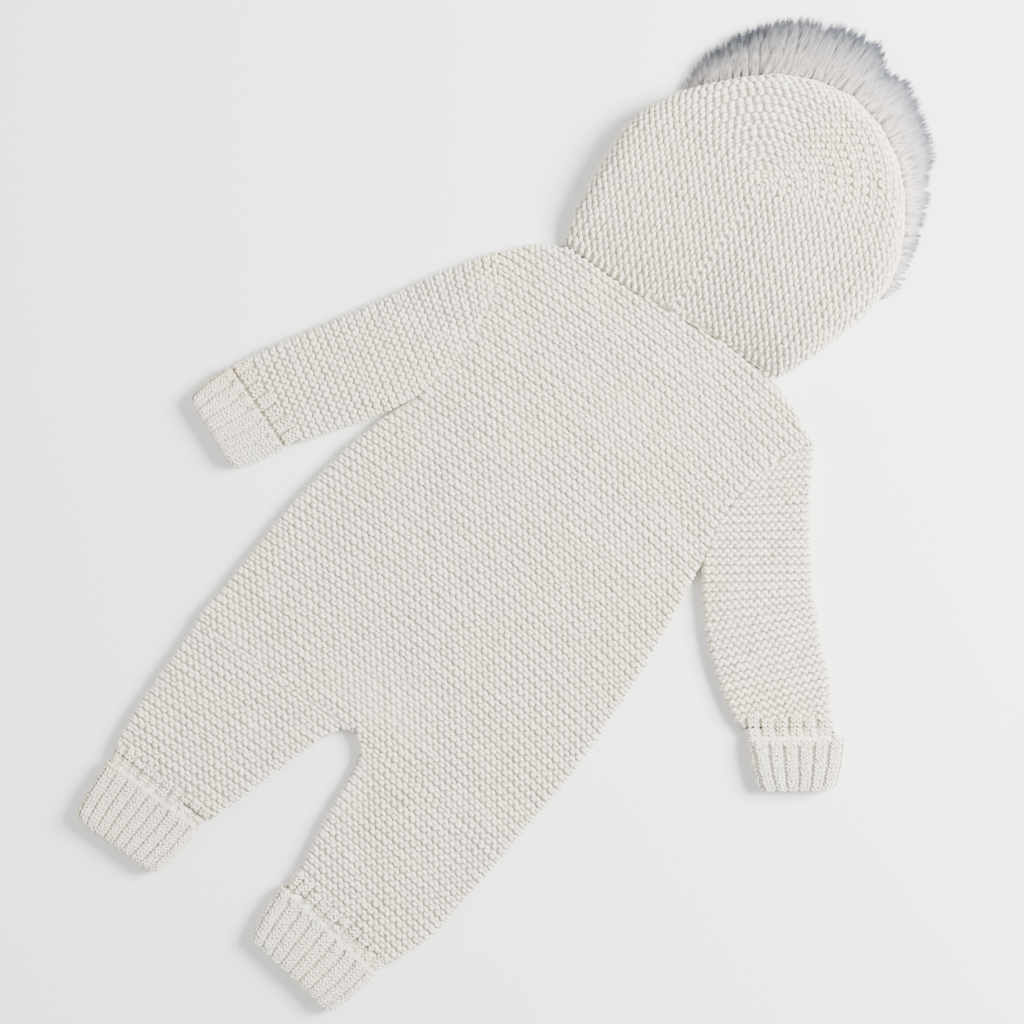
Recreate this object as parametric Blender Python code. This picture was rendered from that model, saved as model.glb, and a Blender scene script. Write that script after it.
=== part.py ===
"""A baby's hooded romper in chunky garter stitch, laid face down, as solids at its real size.

The cloth is a wall: one back, two fronts, two flattened sleeve tubes and a hood, with ribbed cuffs
turned back at wrists and ankles, a buttoned band under the front and a fur trim round the hood's face.
Tables and sizes are in millimetres. X runs across the garment and Y from the feet to the hood, from a
point on the spine; Z is height above the surface that the garment lies on.
"""

import math

import bmesh
import bpy
import numpy as np
from mathutils import Vector

MM = 0.001
ORIGIN = (39.94, 32.81)  # the middle of the whole garment's box, seen from above

# Cloth
KNIT = 5.0  # wall of the garter stitch
SEAM = 0.3  # gap between two pieces at a seam
LAID = 12.5  # height of two walls laid on each other, with the slack between them
ROLL = (LAID - SEAM) / 2  # radius of the rolled edge at a side seam
ROLL_STEPS = (0.0, 0.14, 0.5, 1.0)  # where points lie across a rolled edge, as shares of ROLL
ON_EDGE = 0.05  # a point this near to the rolled edge lies on it
SAME = 0.02  # points this near to each other are one
CURVE_STEPS = 24  # steps of a smooth curve from one of its given points to the next
SHARP_ANGLE = 50  # faces that turn by more than this many degrees meet in a sharp edge
NO_LENGTH = 1e-9  # the least length that a direction is measured from

# Body: the spine, the torso below the armholes and the legs
SPINE = ((-218, 8), (-60, 12), (90, 12), (203, 2))  # (y, x)
TORSO = (  # (left_x, left_y, right_x, right_y, spread of the middle columns)
    (-147, -215, 165, -215, 1.0),
    (-147, -211, 165, -211, 1.3),
    (-146, -190, 166, -190, 2.3),
    (-145.5, -172, 167, -172, 3.2),
    (-145, -125, 168, -123, 4.5),
    (-142, -80, 165, -76, 6.0),
    (-137, -40, 161, -32, 7.0),
    (-129, -5, 155, 8, 8.0),
    (-122, 12, 150, 36, 9.0),
)
LEFT_COLUMNS, RIGHT_COLUMNS = (0.3, 0.62), (0.38, 0.7)  # shares of the flat where columns of points run
LEGS = (  # (y, outer_left, inner_left, inner_right, outer_right)
    (-218, -147, 8, 8, 165),
    (-221.5, -146.5, 0.5, 16.5, 165),
    (-228, -146, -3, 21.5, 165),
    (-240, -145, -8, 26, 164.5),
    (-262, -144, -15, 29, 162.5),
    (-285, -142.5, -21, 32, 161.5),
    (-310, -141.5, -27, 37.5, 159),
    (-329, -139, -33, 41, 152.5),
    (-345, -135, -38, 42.5, 147),
)
LEFT_ARMHOLE = ((-116, 26), (-111, 57), (-110, 88), (-114, 115), (-124, 141), (-138, 158))
RIGHT_ARMHOLE = ((146, 60), (136, 90), (134, 118), (136, 145), (144, 171), (158, 193))
ARMHOLE_ROWS = 13  # rows of points that end at an armhole
ARMHOLE_SPREAD = 11.0  # spread of the middle columns beside the armholes
ARMHOLE_SHARES = (0, 0.22, 0.42, 0.63, 0.83)  # where the body's rows meet the armholes
LEFT_SHOULDER = ((-138, 158), (-121, 179), (-98, 194))
RIGHT_SHOULDER = ((158, 193), (131, 205), (101, 212))
BACK_NECK = ((-98, 194), (-45, 196.5), (2, 203), (48.5, 210), (101, 212))
FRONT_NECK = ((-98, 194), (-56.2, 169), (4, 159), (59.6, 171.5), (101, 212))
SHOULDER_COLUMN = 0.55  # share of the shoulder seam where a column of points meets it
SHOULDER_POINTS = 6
TOP_EASE = 0.45  # how far the row below the shoulders has turned towards them
FRONT_DROP = 24  # how far the front's rows hang below the back's at the neck
SWELL_FADE = 30  # distance over which a fold dies out towards the rolled edge
BACK_SWELLS = (  # (x, y, rise, long radius, short radius, angle): soft folds of the back
    (-70, -40, 1.1, 120, 45, 72),
    (95, -30, 1.2, 120, 45, 108),
    (-95, -260, 1.2, 90, 30, 85),
    (95, -255, 1.2, 90, 30, 95),
    (20, 120, -0.9, 90, 30, 12),
    (30, -190, -1.3, 80, 26, 170),
    (60, 30, 0.8, 70, 26, 40),
    (-60, 40, 0.7, 60, 24, 140),
)

# Front fastening
SLOT_WIDTH = 26.0  # the gap between the fronts that the band fills
BAND_WALL = 1.8
SLOT_FADE = 6  # how quickly the columns near the slot give way to it
BAND_FOOT = -172  # y where the slot starts to narrow
BAND_TIP = -190  # y where it closes
BAND_STATIONS = (BAND_TIP + 2, -181, BAND_FOOT, -60, 90, 158.2)
BAND_RIBS = 5
BAND_GROOVE = 0.45
BUTTON_WIDTH = 15.0
BUTTON_THICK = 2.2
BUTTON_RIM = 2.0
BUTTON_DISH = 0.6  # how deep the face lies inside the rim
BUTTON_YS = (142, 82.4, 22.8, -36.8, -96.4, -156)
BUTTON_SIDES = 20
HOLE_SIDES = 8
HOLE_WIDTH = 1.8
HOLE_OFF = 1.6  # from the button's middle to a hole's, along each side

# Sleeves: the outer and the inner outline, each from the armhole to the wrist
LEFT_SLEEVE_OUTER = ((-138, 158), (-163, 118), (-198, 51), (-240, -24), (-249, -46))
LEFT_SLEEVE_INNER = ((-116, 26), (-131, -5), (-148, -32), (-163, -55), (-173.5, -70))
RIGHT_SLEEVE_OUTER = ((158, 193), (178, 162), (218, 112), (265, 67), (291, 46), (309, 23.5))
RIGHT_SLEEVE_INNER = ((146, 60), (157, 43), (191, 9.5), (219, -10), (234, -18), (249, -25))
SLEEVE_STATIONS = (0, 0.07, 0.2, 0.36, 0.52, 0.68, 0.84, 1)
SLEEVE_COLUMNS = (0.16, 0.33, 0.5, 0.67, 0.84)  # shares of a section's flat
SLEEVE_EASE = 0.55  # how far the second section has turned from the armhole's line to the third
SLEEVE_SWELL = 1.2
SLEEVE_FADE = 20  # distance over which the swell dies out towards an edge
SLANTED_SEAM = 1.6 * SEAM  # gap along the limb where its seam lies aslant

# Turned-back cuffs: each has the line of its turned edge and the line of its fold, (ax, ay, bx, by)
RIB_WALL = 3.2
RIB_RISE = 1.1
RIB_POINTS = (-0.3, 0.3, 0.5)  # places of one rib's points: its crown's two sides, and the groove
CUFF_LEVEL = 4.6  # half the length of a ring's flat run, when its round end is one unit in radius
CUFF_START = (6.25, 5.5, 1.5)  # where it is knitted on to the limb: middle's height, half height, inset
CUFFS = (  # (name, ribs, turned edge, fold)
    ("cuff_sleeve_left", 14, (-251.5, -48, -174, -73.5), (-262, -87, -194, -112)),
    ("cuff_sleeve_right", 14, (322.5, 20.5, 260, -29), (343, -15, 291, -56)),
    ("cuff_leg_left", 20, (-133.5, -356, -40.5, -354), (-128, -408, -44, -405)),
    ("cuff_leg_right", 20, (37.5, -349, 142.5, -359), (42, -397, 135, -406)),
)
CUFF_PROFILE = (  # (share of the way from turned edge to fold, middle's height, half height, inset)
    (-0.004, 6.3, 5.5, 2.2),
    (0.0, 8.0, 7.2, 0.8),
    (0.04, 8.1, 7.9, 0.0),
    (0.5, 8.1, 8.1, -0.6),
    (0.86, 8.1, 7.8, 1.0),
    (0.96, 8.1, 6.5, 3.6),
    (1.0, 8.1, 4.2, 7.5),
    (0.985, 8.1, 2.6, 9.8),
    (0.9, 8.1, 1.3, 11.0),
    (0.3, 8.1, 1.3, 9.0),
)
CUFF_PLAIN_FROM = 7  # the profile's rows from here on line the inside, with no ribs

# Hood: the centre-back seam and its sections, from the left of the neck round the crown to the right
FRONT_TOP = 4.0  # height up to which the hood's ends follow the front's neckline
NAPE = (2, 203.4)
CROWN = (-3, 324)
HOOD_SECTIONS = (
    # (up the seam, edge_x, edge_y, seam_z, brow_z, fold_z, low_z, fold depth, face_x, face_y, face_z)
    (0.00, -98, 194.6, 12.5, 12.5, 6.2, 0.0, 6.2, -9, 160.2, 0.0),
    (0.16, -107, 210, 18.0, 19.0, 8.5, 0.3, 10, -36, 181, 0.8),
    (0.40, -113, 237, 25.5, 26.5, 11.0, 1.2, 15, -56, 213, 2.4),
    (0.68, -118, 272, 32.0, 31.5, 13.0, 2.8, 18, -66, 252, 6.5),
    (0.90, -118.5, 305, 36.5, 33.5, 15.0, 4.6, 18, -67, 288, 12.0),
    (1.00, -109, 334, 38.0, 35.0, 17.0, 6.0, 18, -61, 320, 15.0),
    (1.00, -82, 370, 38.0, 37.0, 21.0, 10.5, 16, -46, 346, 15.0),
    (1.00, -45, 406, 38.0, 39.0, 25.0, 14.0, 15, -26, 364, 15.0),
    (1.00, 10, 426, 38.0, 40.0, 26.0, 14.5, 15, 5, 373, 15.0),
    (1.00, 66, 411, 38.0, 39.0, 25.0, 14.0, 15, 36, 366, 15.0),
    (1.00, 104, 375, 38.0, 37.0, 21.0, 11.0, 16, 60, 345, 15.0),
    (1.00, 125, 334, 38.0, 35.0, 17.0, 6.5, 18, 74, 314, 15.0),
    (0.90, 126, 299, 36.5, 33.5, 15.0, 4.6, 18, 77, 282, 12.0),
    (0.68, 119, 265, 32.0, 31.5, 13.0, 2.8, 18, 72, 249, 6.5),
    (0.40, 112, 238, 25.5, 26.5, 11.0, 1.2, 15, 62, 215, 2.4),
    (0.16, 106, 224, 18.0, 19.0, 8.5, 0.3, 9, 40, 183, 0.8),
    (0.00, 101, 212.6, 12.5, 12.5, 6.2, 0.0, 6.2, 13, 160.2, 0.0),
)
UP_THE_SEAM, LOW_Z, FACE_Z = 0, 6, 10  # columns of the table above
HOOD_STATIONS = 31
TOP_SHARES = (0.0, 0.2, 0.5, 0.76, 1.0)
FOLD_ANGLES = (62, 36, 12, -12, -36, -62, -90)
UNDER_SHARES = (0.43, 0.75, 1.0)

# Fur trim round the face: how far it stands out past the hood's edge, station by station
FUR_SECTIONS = (  # (station of the hood, point of its section where the fur starts, reach, height)
    (6, 11, 1.5, 1.6),
    (8, 10, 2.0, 2.6),
    (10, 9, 4.0, 6.0),
    (11, 8, 14.0, 14.0),
    (13, 7, 41.0, 25.0),
    (15, 7, 47.0, 27.0),
    (17, 7, 41.0, 26.0),
    (19, 7, 27.0, 21.0),
    (21, 8, 8.0, 11.0),
    (22, 9, 2.5, 5.0),
    (24, 11, 1.5, 1.6),
)
FUR_OUTSIDE = ((0.9, 0.0), (1.0, 0.32), (0.72, 0.86), (0.32, 1.0))  # (share of reach, share of height)
FUR_FIRST = 7  # first point of a section that the fur can follow
FUR_INTO_OPENING = 8.0
FUR_LINING = 0.8  # height of the fur's inner side, as a share of the face edge's
FUR_CLEAR = 0.9

COLOURS = {  # (red, green, blue, roughness)
    "garter_wool": (0.74, 0.70, 0.62, 0.95),
    "rib_wool": (0.74, 0.70, 0.62, 0.95),
    "fur": (0.72, 0.69, 0.67, 0.9),
    "button": (0.62, 0.52, 0.40, 0.45),
}


# ---------------------------------------------------------------- curves


def spline(a, b, c, d, t):
    """The point this share of the way from b to c, on a smooth curve through all four."""
    slope, curve, twist = c - a, 2 * a - 5 * b + 4 * c - d, 3 * b - a - 3 * c + d
    return b + (slope * t + curve * t**2 + twist * t**3) / 2


def smooth(points, shares):
    """Points at these shares of the length of a smooth curve through the given points."""
    p = np.array(points, float)
    ends = np.vstack([2 * p[0] - p[1], p, 2 * p[-1] - p[-2]])
    fine = []
    for a, b, c, d in zip(ends, ends[1:], ends[2:], ends[3:]):
        fine += [spline(a, b, c, d, t) for t in np.linspace(0, 1, CURVE_STEPS, endpoint=False)]
    fine = np.array([*fine, p[-1]])
    run = np.concatenate([[0], np.cumsum(np.linalg.norm(np.diff(fine[:, :2], axis=0), axis=1))])
    return np.stack([np.interp(np.array(shares) * run[-1], run, fine[:, k]) for k in range(p.shape[1])], 1)


def spread(start, end, inner_shares=(), near=ROLL, far=ROLL):
    """Points from start to end: the rolled edge's steps at each end, and shares of the flat between."""
    start, end = np.array(start, float), np.array(end, float)
    span = np.linalg.norm(end - start)
    along = [near * s for s in ROLL_STEPS]
    along += [near + (span - near - far) * f for f in inner_shares]
    along += [span - far * s for s in reversed(ROLL_STEPS)]
    return [start + (end - start) * a / span for a in along]


def spine_x(y):
    """The x of the garment's centre line at this y."""
    return float(np.interp(y, [row[0] for row in SPINE], [row[1] for row in SPINE]))


class RolledEdge:
    """The outline along which back and front meet, where both walls roll towards each other."""

    def __init__(self, *lines):
        self.starts = np.array([p for line in lines for p in line[:-1]], float)
        self.ends = np.array([p for line in lines for p in line[1:]], float)

    def nearest(self, point):
        """(distance, outward direction) from a point to the edge."""
        run = self.ends - self.starts
        share = ((point - self.starts) * run).sum(1) / (run * run).sum(1)
        foot = self.starts + run * np.clip(share, 0, 1)[:, None]
        gap = foot - point
        k = int(np.argmin((gap * gap).sum(1)))
        distance = float(np.linalg.norm(gap[k]))
        if distance > ON_EDGE:
            return distance, gap[k] / distance
        close = np.linalg.norm(gap, axis=1) < ON_EDGE
        across = np.stack([run[:, 1], -run[:, 0]], 1)[close]
        outward = (across / np.linalg.norm(across, axis=1)[:, None]).sum(0)
        return 0.0, outward / np.linalg.norm(outward)


# ---------------------------------------------------------------- solids


def place(x, y, z):
    """A point of the garment, in metres from the origin."""
    return Vector(((x - ORIGIN[0]) * MM, (y - ORIGIN[1]) * MM, z * MM))


def material(name):
    """The material of this name, made once."""
    made = bpy.data.materials.get(name)
    if made is None:
        red, green, blue, roughness = COLOURS[name]
        made = bpy.data.materials.new(name)
        made.use_nodes = True
        shader = made.node_tree.nodes["Principled BSDF"]
        shader.inputs["Base Color"].default_value = (red, green, blue, 1)
        shader.inputs["Roughness"].default_value = roughness
        shader.inputs["Metallic"].default_value = 0
    return made


def finish(name, bm, finish_name):
    """Turns a closed bmesh into the named object."""
    bmesh.ops.recalc_face_normals(bm, faces=bm.faces)
    if bm.calc_volume(signed=True) < 0:
        bmesh.ops.reverse_faces(bm, faces=bm.faces)
    mesh = bpy.data.meshes.new(name)
    bm.to_mesh(mesh)
    bm.free()
    mesh.shade_smooth()
    mesh.set_sharp_from_angle(angle=math.radians(SHARP_ANGLE))
    mesh.materials.append(material(finish_name))
    made = bpy.data.objects.new(name, mesh)
    bpy.context.scene.collection.objects.link(made)
    return made


def add_sheet(bm, rows):
    """Adds a sheet through rows of points, and returns its vertices.

    Every sheet's quads are halved the same way, so two sheets laid on each other keep their distance.
    """
    wide, deep = len(rows[0]), len(rows)
    sheet = bmesh.ops.create_grid(bm, x_segments=wide - 1, y_segments=deep - 1, size=1)["verts"]
    for n, vertex in enumerate(sheet):
        vertex.co = rows[n // wide][n % wide]
    bmesh.ops.triangulate(bm, faces=bm.faces[:], quad_method="FIXED")
    return sheet


def wall(name, sheets, finish_name):
    """The named object, from sheets of (outer, inner) points that join where they touch.

    The outer points are extruded, and the new side moves to the inner points.
    """
    bm = bmesh.new()
    inner = bm.verts.layers.float_vector.new("inner")
    for rows in sheets:
        sheet = add_sheet(bm, [[outer_point for outer_point, _ in row] for row in rows])
        for vertex, (_, inner_point) in zip(sheet, [pair for row in rows for pair in row]):
            vertex[inner] = inner_point
    bmesh.ops.remove_doubles(bm, verts=bm.verts, dist=SAME * MM)
    made = bmesh.ops.extrude_face_region(bm, geom=bm.faces[:], use_keep_orig=True)
    for vertex in made["geom"]:
        if isinstance(vertex, bmesh.types.BMVert):
            vertex.co = vertex[inner]
    return finish(name, bm, finish_name)


def skin(name, rings, finish_name):
    """The named object, from a skin through rings of points, filled at its ends where they are open."""
    bm = bmesh.new()
    add_sheet(bm, [[*ring, ring[0]] for ring in rings])
    bmesh.ops.remove_doubles(bm, verts=bm.verts, dist=SAME * MM)
    bmesh.ops.holes_fill(bm, edges=[e for e in bm.edges if e.is_boundary], sides=0)
    return finish(name, bm, finish_name)


# ---------------------------------------------------------------- body panels


def row_of(left, right, middle_spread):
    """A row across the torso: the rolled edges' steps, flat shares, and steps about the middle."""
    left, right = np.array(left, float), np.array(right, float)
    slope = (right - left) / (right[0] - left[0])
    share_y = left[1] + slope[1] * (spine_x((left[1] + right[1]) / 2) - left[0])
    middle = np.array([spine_x(share_y), share_y])
    near_middle = ROLL * middle_spread
    first = spread(left, middle, LEFT_COLUMNS, ROLL, near_middle)
    second = spread(middle, right, RIGHT_COLUMNS, near_middle, ROLL)
    return first + second[1:]


def neck_row(shoulders, neck):
    """The top row of a panel: up the left shoulder, along the neckline and down the right."""
    halves = []
    for shoulder, line in zip(shoulders, (neck, neck[::-1])):
        tip = spread(shoulder[0], shoulder[-1])[: len(ROLL_STEPS)]
        corner = spread(line[0], line[1])[2 : len(ROLL_STEPS)]
        halves.append([*tip, *smooth(shoulder, (SHOULDER_COLUMN, 1)), *corner, *np.array(line[1:3], float)])
    return halves[0] + halves[1][-2::-1]


def between(low, high, share):
    """The row that lies this share of the way from one row to the next."""
    return [a + (b - a) * share for a, b in zip(low, high)]


def dipped(row, drop):
    """A row whose middle hangs lower by this much, for a lower neckline."""
    left, right = row[0][0], row[-1][0]
    half = (right - left) / 2
    return [p - np.array([0, drop * (1 - ((p[0] - left - half) / half) ** 2)]) for p in row]


def torso_rows(neck, drop=0):
    """All rows of the torso, from just above the crotch to the neckline, as plan points."""
    rows = [row_of((lx, ly), (rx, ry), s) for lx, ly, rx, ry, s in TORSO]
    lefts, rights = smooth(LEFT_ARMHOLE, ARMHOLE_SHARES), smooth(RIGHT_ARMHOLE, ARMHOLE_SHARES)
    rows.append(row_of(lefts[0], rights[0], ARMHOLE_SPREAD))
    for step in ROLL_STEPS[1:]:
        start = [
            side[0] + (side[1] - side[0]) * ROLL * step / np.linalg.norm(side[1] - side[0])
            for side in (lefts, rights)
        ]
        rows.append(row_of(*start, ARMHOLE_SPREAD))
    for share, a, b in zip(ARMHOLE_SHARES[1:], lefts[1:], rights[1:]):
        rows.append(dipped(row_of(a, b, ARMHOLE_SPREAD), drop * share))
    top = neck_row((LEFT_SHOULDER, RIGHT_SHOULDER), neck)
    base = rows[-1]
    rows.append(between(base, top, TOP_EASE))
    for step in reversed(ROLL_STEPS):
        row = []
        for column, high in enumerate(top):
            along = np.array([0.0, -1.0])
            if min(column, len(top) - 1 - column) < len(ROLL_STEPS):
                side = 0 if column < len(ROLL_STEPS) else -1
                along = base[side] - top[side]
            row.append(high + along * ROLL * step / np.linalg.norm(along))
        rows.append(row)
    return rows


def leg_rows(side):
    """Rows of one leg from the crotch to the ankle, as plan points, left to right."""
    rows = []
    for y, outer_left, inner_left, inner_right, outer_right in LEGS:
        if side == "left":
            rows.append(spread((outer_left, y), (inner_left, y), LEFT_COLUMNS))
        else:
            rows.append(spread((inner_right, y), (outer_right, y), RIGHT_COLUMNS))
    return rows


def outlines(rows):
    """The rolled edge: both sides of the body, both inseams with the crotch, and the shoulders."""
    below = rows[: len(TORSO) + 1]
    down_left, up_left, down_right, up_right = (
        [np.array((row[column], row[0]), float) for row in LEGS] for column in (1, 2, 3, 4)
    )
    left_side = [row[0] for row in reversed(below)] + down_left
    right_side = up_right[::-1] + [row[-1] for row in below]
    inseam = up_left[::-1] + down_right[1:]
    top = rows[-1]
    right_shoulder, left_shoulder = top[: -SHOULDER_POINTS - 1 : -1], top[:SHOULDER_POINTS][::-1]
    return RolledEdge(left_side, inseam, right_side, right_shoulder, left_shoulder)


def swell(x, y):
    """How far the back's soft folds lift or lower the cloth at this point."""
    total = 0.0
    for cx, cy, rise, long_radius, short_radius, angle in BACK_SWELLS:
        a = math.radians(angle)
        u = ((x - cx) * math.cos(a) + (y - cy) * math.sin(a)) / long_radius
        v = ((y - cy) * math.cos(a) - (x - cx) * math.sin(a)) / short_radius
        total += rise * math.exp(-(u * u + v * v))
    return total


def panel_point(point, edge, upper, cut=None):
    """(outer, inner) points of the back (upper) or a front, rolled towards each other at the edge.

    On a cut edge, such as an armhole, the wall's thickness lies along the direction of the cut.
    """
    distance, outward = edge.nearest(point)
    if cut is not None:
        along, share = cut
        outward = outward * (1 - share) + along * math.copysign(share, along @ outward)
        outward /= np.linalg.norm(outward)
    cosine = max(0.0, 1 - distance / ROLL)
    sine = math.sqrt(1 - cosine * cosine)
    away = -1
    middle = ROLL
    lift = 0.0
    if upper:
        away = 1
        middle = LAID - ROLL
        fade = min(1.0, distance / SWELL_FADE)
        lift = swell(*point) * fade * fade * (3 - 2 * fade)
    outer = np.array([point[0], point[1], middle + away * ROLL * sine + lift])
    thick = KNIT + min(0.0, lift)
    inner = outer - thick * np.array([outward[0] * cosine, outward[1] * cosine, away * sine])
    return place(*outer), place(*inner)


def walled(rows, edge, upper, armholes=()):
    """Rows of plan points as rows of (outer, inner) points; armholes are the columns that end at one."""
    made = []
    for n, row in enumerate(rows):
        cuts = [None] * len(row)
        for column in armholes:
            if n > len(rows) - ARMHOLE_ROWS:
                along = rows[min(n + 1, len(rows) - 1)][column] - rows[n - 1][column]
                for k, step in enumerate(ROLL_STEPS):
                    near = column + k if column == 0 else column - k
                    cuts[near] = (along / np.linalg.norm(along), 1 - step)
        made.append([panel_point(p, edge, upper, cut) for p, cut in zip(row, cuts)])
    return made


def make_back(rows, edge):
    """The back: torso and both legs in one piece."""
    legs = [leg_rows("left"), leg_rows("right")]
    crotch = legs[0][0] + legs[1][0][1:]
    sheets = [walled([crotch, *rows], edge, True, (0, -1))]
    sheets += [walled(list(reversed(leg)), edge, True) for leg in legs]
    wall("back", sheets, "garter_wool")


def slot_half(y):
    """Half the gap between the fronts: wide beside the band, and a seam below its point."""
    return float(np.interp(y, (BAND_TIP, BAND_FOOT), (SEAM / 2, SLOT_WIDTH / 2)))


def cut_to_centre(row, side):
    """The part of a torso row on one side, its columns moved away from the middle to clear the slot."""
    middle = len(row) // 2
    half = row[: middle + 1] if side == "left" else row[middle:]
    fixed, centre = (half[0], half[-1]) if side == "left" else (half[-1], half[0])
    away = spine_x(centre[1]) - centre[0] + slot_half(centre[1]) * (-1 if side == "left" else 1)
    cut = []
    for p in half:
        share = (p[0] - fixed[0]) / (centre[0] - fixed[0])
        cut.append(p + np.array([away * share**SLOT_FADE, 0]))
    return cut


def make_fronts(edge):
    """The two fronts, each with its leg, open down the middle."""
    rows = torso_rows(FRONT_NECK, FRONT_DROP)
    for side in ("left", "right"):
        leg = leg_rows(side)
        torso = [cut_to_centre(row, side) for row in rows]
        leg[0] = cut_to_centre(leg_rows("left")[0] + leg_rows("right")[0][1:], side)
        sheet = walled([*reversed(leg), *torso], edge, False, (0 if side == "left" else -1,))
        wall(f"front_{side}", [sheet], "garter_wool")


# ---------------------------------------------------------------- front fastening


def make_bands():
    """The buttonhole band outside and the button band inside it, ribbed lengthwise."""
    first = BUTTON_THICK + SEAM
    for name, low, ribs in (
        ("band_buttonhole", first, BAND_RIBS),
        ("band_button", first + BAND_WALL + SEAM, 1),
    ):
        rows = []
        for y in BAND_STATIONS:
            half = slot_half(y) - 2 * SEAM
            steps = 3 * ribs
            row = []
            for k in range(steps + 1):
                across = half * (2 * k / steps - 1)
                groove = BAND_GROOVE if k % 3 == 0 and 0 < k < steps else 0.0
                x = spine_x(y) + across
                row.append((place(x, y, low + groove), place(x, y, low + BAND_WALL)))
            rows.append(row)
        wall(name, [rows], "rib_wool")


def make_buttons():
    """Round buttons with a dished face and four holes, under the buttonhole band."""
    for n, y in enumerate(BUTTON_YS, 1):
        bm = bmesh.new()
        bmesh.ops.create_circle(bm, segments=BUTTON_SIDES, radius=BUTTON_WIDTH / 2 * MM, cap_ends=True)
        made = bmesh.ops.extrude_face_region(bm, geom=bm.faces[:], use_keep_orig=True)
        face = [f for f in made["geom"] if isinstance(f, bmesh.types.BMFace)]
        bmesh.ops.translate(bm, verts=face[0].verts[:], vec=(0, 0, -BUTTON_THICK * MM))
        bmesh.ops.inset_region(bm, faces=face, thickness=BUTTON_RIM * MM)
        bmesh.ops.translate(bm, verts=face[0].verts[:], vec=(0, 0, BUTTON_DISH * MM))
        bmesh.ops.translate(bm, verts=bm.verts, vec=place(spine_x(y), y, BUTTON_THICK))
        button = finish(f"button_{n}", bm, "button")
        cut = button.modifiers.new("holes", "BOOLEAN")
        cut.operation = "DIFFERENCE"
        cut.object = hole_cutter(f"holes_{n}", spine_x(y), y)


def hole_cutter(name, x, y):
    """Four thread holes, as one cutter for a button."""
    bm = bmesh.new()
    for dx, dy in ((-1, -1), (1, -1), (-1, 1), (1, 1)):
        width = HOLE_WIDTH / 2 * MM
        depth = 4 * BUTTON_THICK * MM
        hole = bmesh.ops.create_cone(
            bm, cap_ends=True, segments=HOLE_SIDES, radius1=width, radius2=width, depth=depth
        )
        bmesh.ops.translate(bm, verts=hole["verts"], vec=place(x + dx * HOLE_OFF, y + dy * HOLE_OFF, 0))
    cutter = finish(name, bm, "button")
    cutter.hide_render = True
    cutter.display_type = "WIRE"
    return cutter


# ---------------------------------------------------------------- sleeves and cuffs


def sleeve_lines(side, rows):
    """Section lines of a sleeve from armhole to wrist; the first follows the body's armhole."""
    if side == "left":
        outer, inner, column = LEFT_SLEEVE_OUTER, LEFT_SLEEVE_INNER, 0
    else:
        outer, inner, column = RIGHT_SLEEVE_OUTER, RIGHT_SLEEVE_INNER, -1
    armhole = [row[column] for row in rows[len(TORSO):]][::-1]
    outer_points, inner_points = smooth(outer, SLEEVE_STATIONS), smooth(inner, SLEEVE_STATIONS)
    lines = []
    for a, b in zip(outer_points, inner_points):
        lines.append(spread(a, b, SLEEVE_COLUMNS))
    away = outer_points[-1] + inner_points[-1] - outer_points[0] - inner_points[0]
    away /= np.linalg.norm(away)
    lines[0] = [p + away * SLANTED_SEAM for p in armhole]
    lines[1] = between(lines[0], lines[2], SLEEVE_EASE)
    return lines


def sleeve_ring(line, lift):
    """(outer, inner) points round a flattened tube whose edges are the ends of this line."""
    radius = LAID / 2
    outwards = [
        (edge - inside) / np.linalg.norm(edge - inside)
        for edge, inside in ((line[0], line[3]), (line[-1], line[-4]))
    ]
    top, bottom = [], []
    for p in line:
        gaps = [np.linalg.norm(p - edge) for edge in (line[0], line[-1])]
        distance, outward = min(gaps), outwards[int(np.argmin(gaps))]
        cosine = max(0.0, 1 - distance / radius)
        sine = math.sqrt(1 - cosine * cosine)
        rise = lift * min(1.0, distance / SLEEVE_FADE)
        inside = p - outward * KNIT * cosine
        high, low = radius * sine, (radius - KNIT) * sine
        top.append((place(*p, radius + high + rise), place(*inside, radius + low + rise)))
        bottom.append((place(*p, radius - high), place(*inside, radius - low)))
    return top + bottom[-2:0:-1]


def make_sleeve(side, rows):
    """A sleeve: a flattened tube, open at the armhole and at the wrist. Returns its last line."""
    lines = sleeve_lines(side, rows)
    rings = []
    for n, line in enumerate(lines):
        lift = SLEEVE_SWELL * math.sin(math.pi * n / (len(lines) - 1))
        ring = sleeve_ring(line, lift)
        rings.append([*ring, ring[0]])
    wall(f"sleeve_{side}", [rings], "garter_wool")
    return lines[-1][0], lines[-1][-1]


def cuff_ring(a, b, middle_z, half_height, inset, ribs, rise):
    """Points round a flattened ring between a and b, three to a rib, with a groove at each third."""
    across = (b - a) / np.linalg.norm(b - a)
    centre = (a + b) / 2
    flat = np.linalg.norm(b - a) / 2 - inset - half_height
    level, arc = 2 * CUFF_LEVEL, math.pi
    points = []
    for k in range(3 * ribs):
        run = (RIB_POINTS[k % 3] + k // 3) / ribs % 1.0 * 2 * (level + arc)
        side = 1 if run < level + arc else -1
        run -= 0 if side == 1 else level + arc
        turn = max(0.0, run - level)
        x = side * (min(run, level) / CUFF_LEVEL - 1) * flat
        reach = half_height - (rise if k % 3 == 2 else 0.0)
        p = centre + across * (x + reach * side * math.sin(turn))
        points.append(place(p[0], p[1], middle_z + reach * side * math.cos(turn)))
    return points


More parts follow.
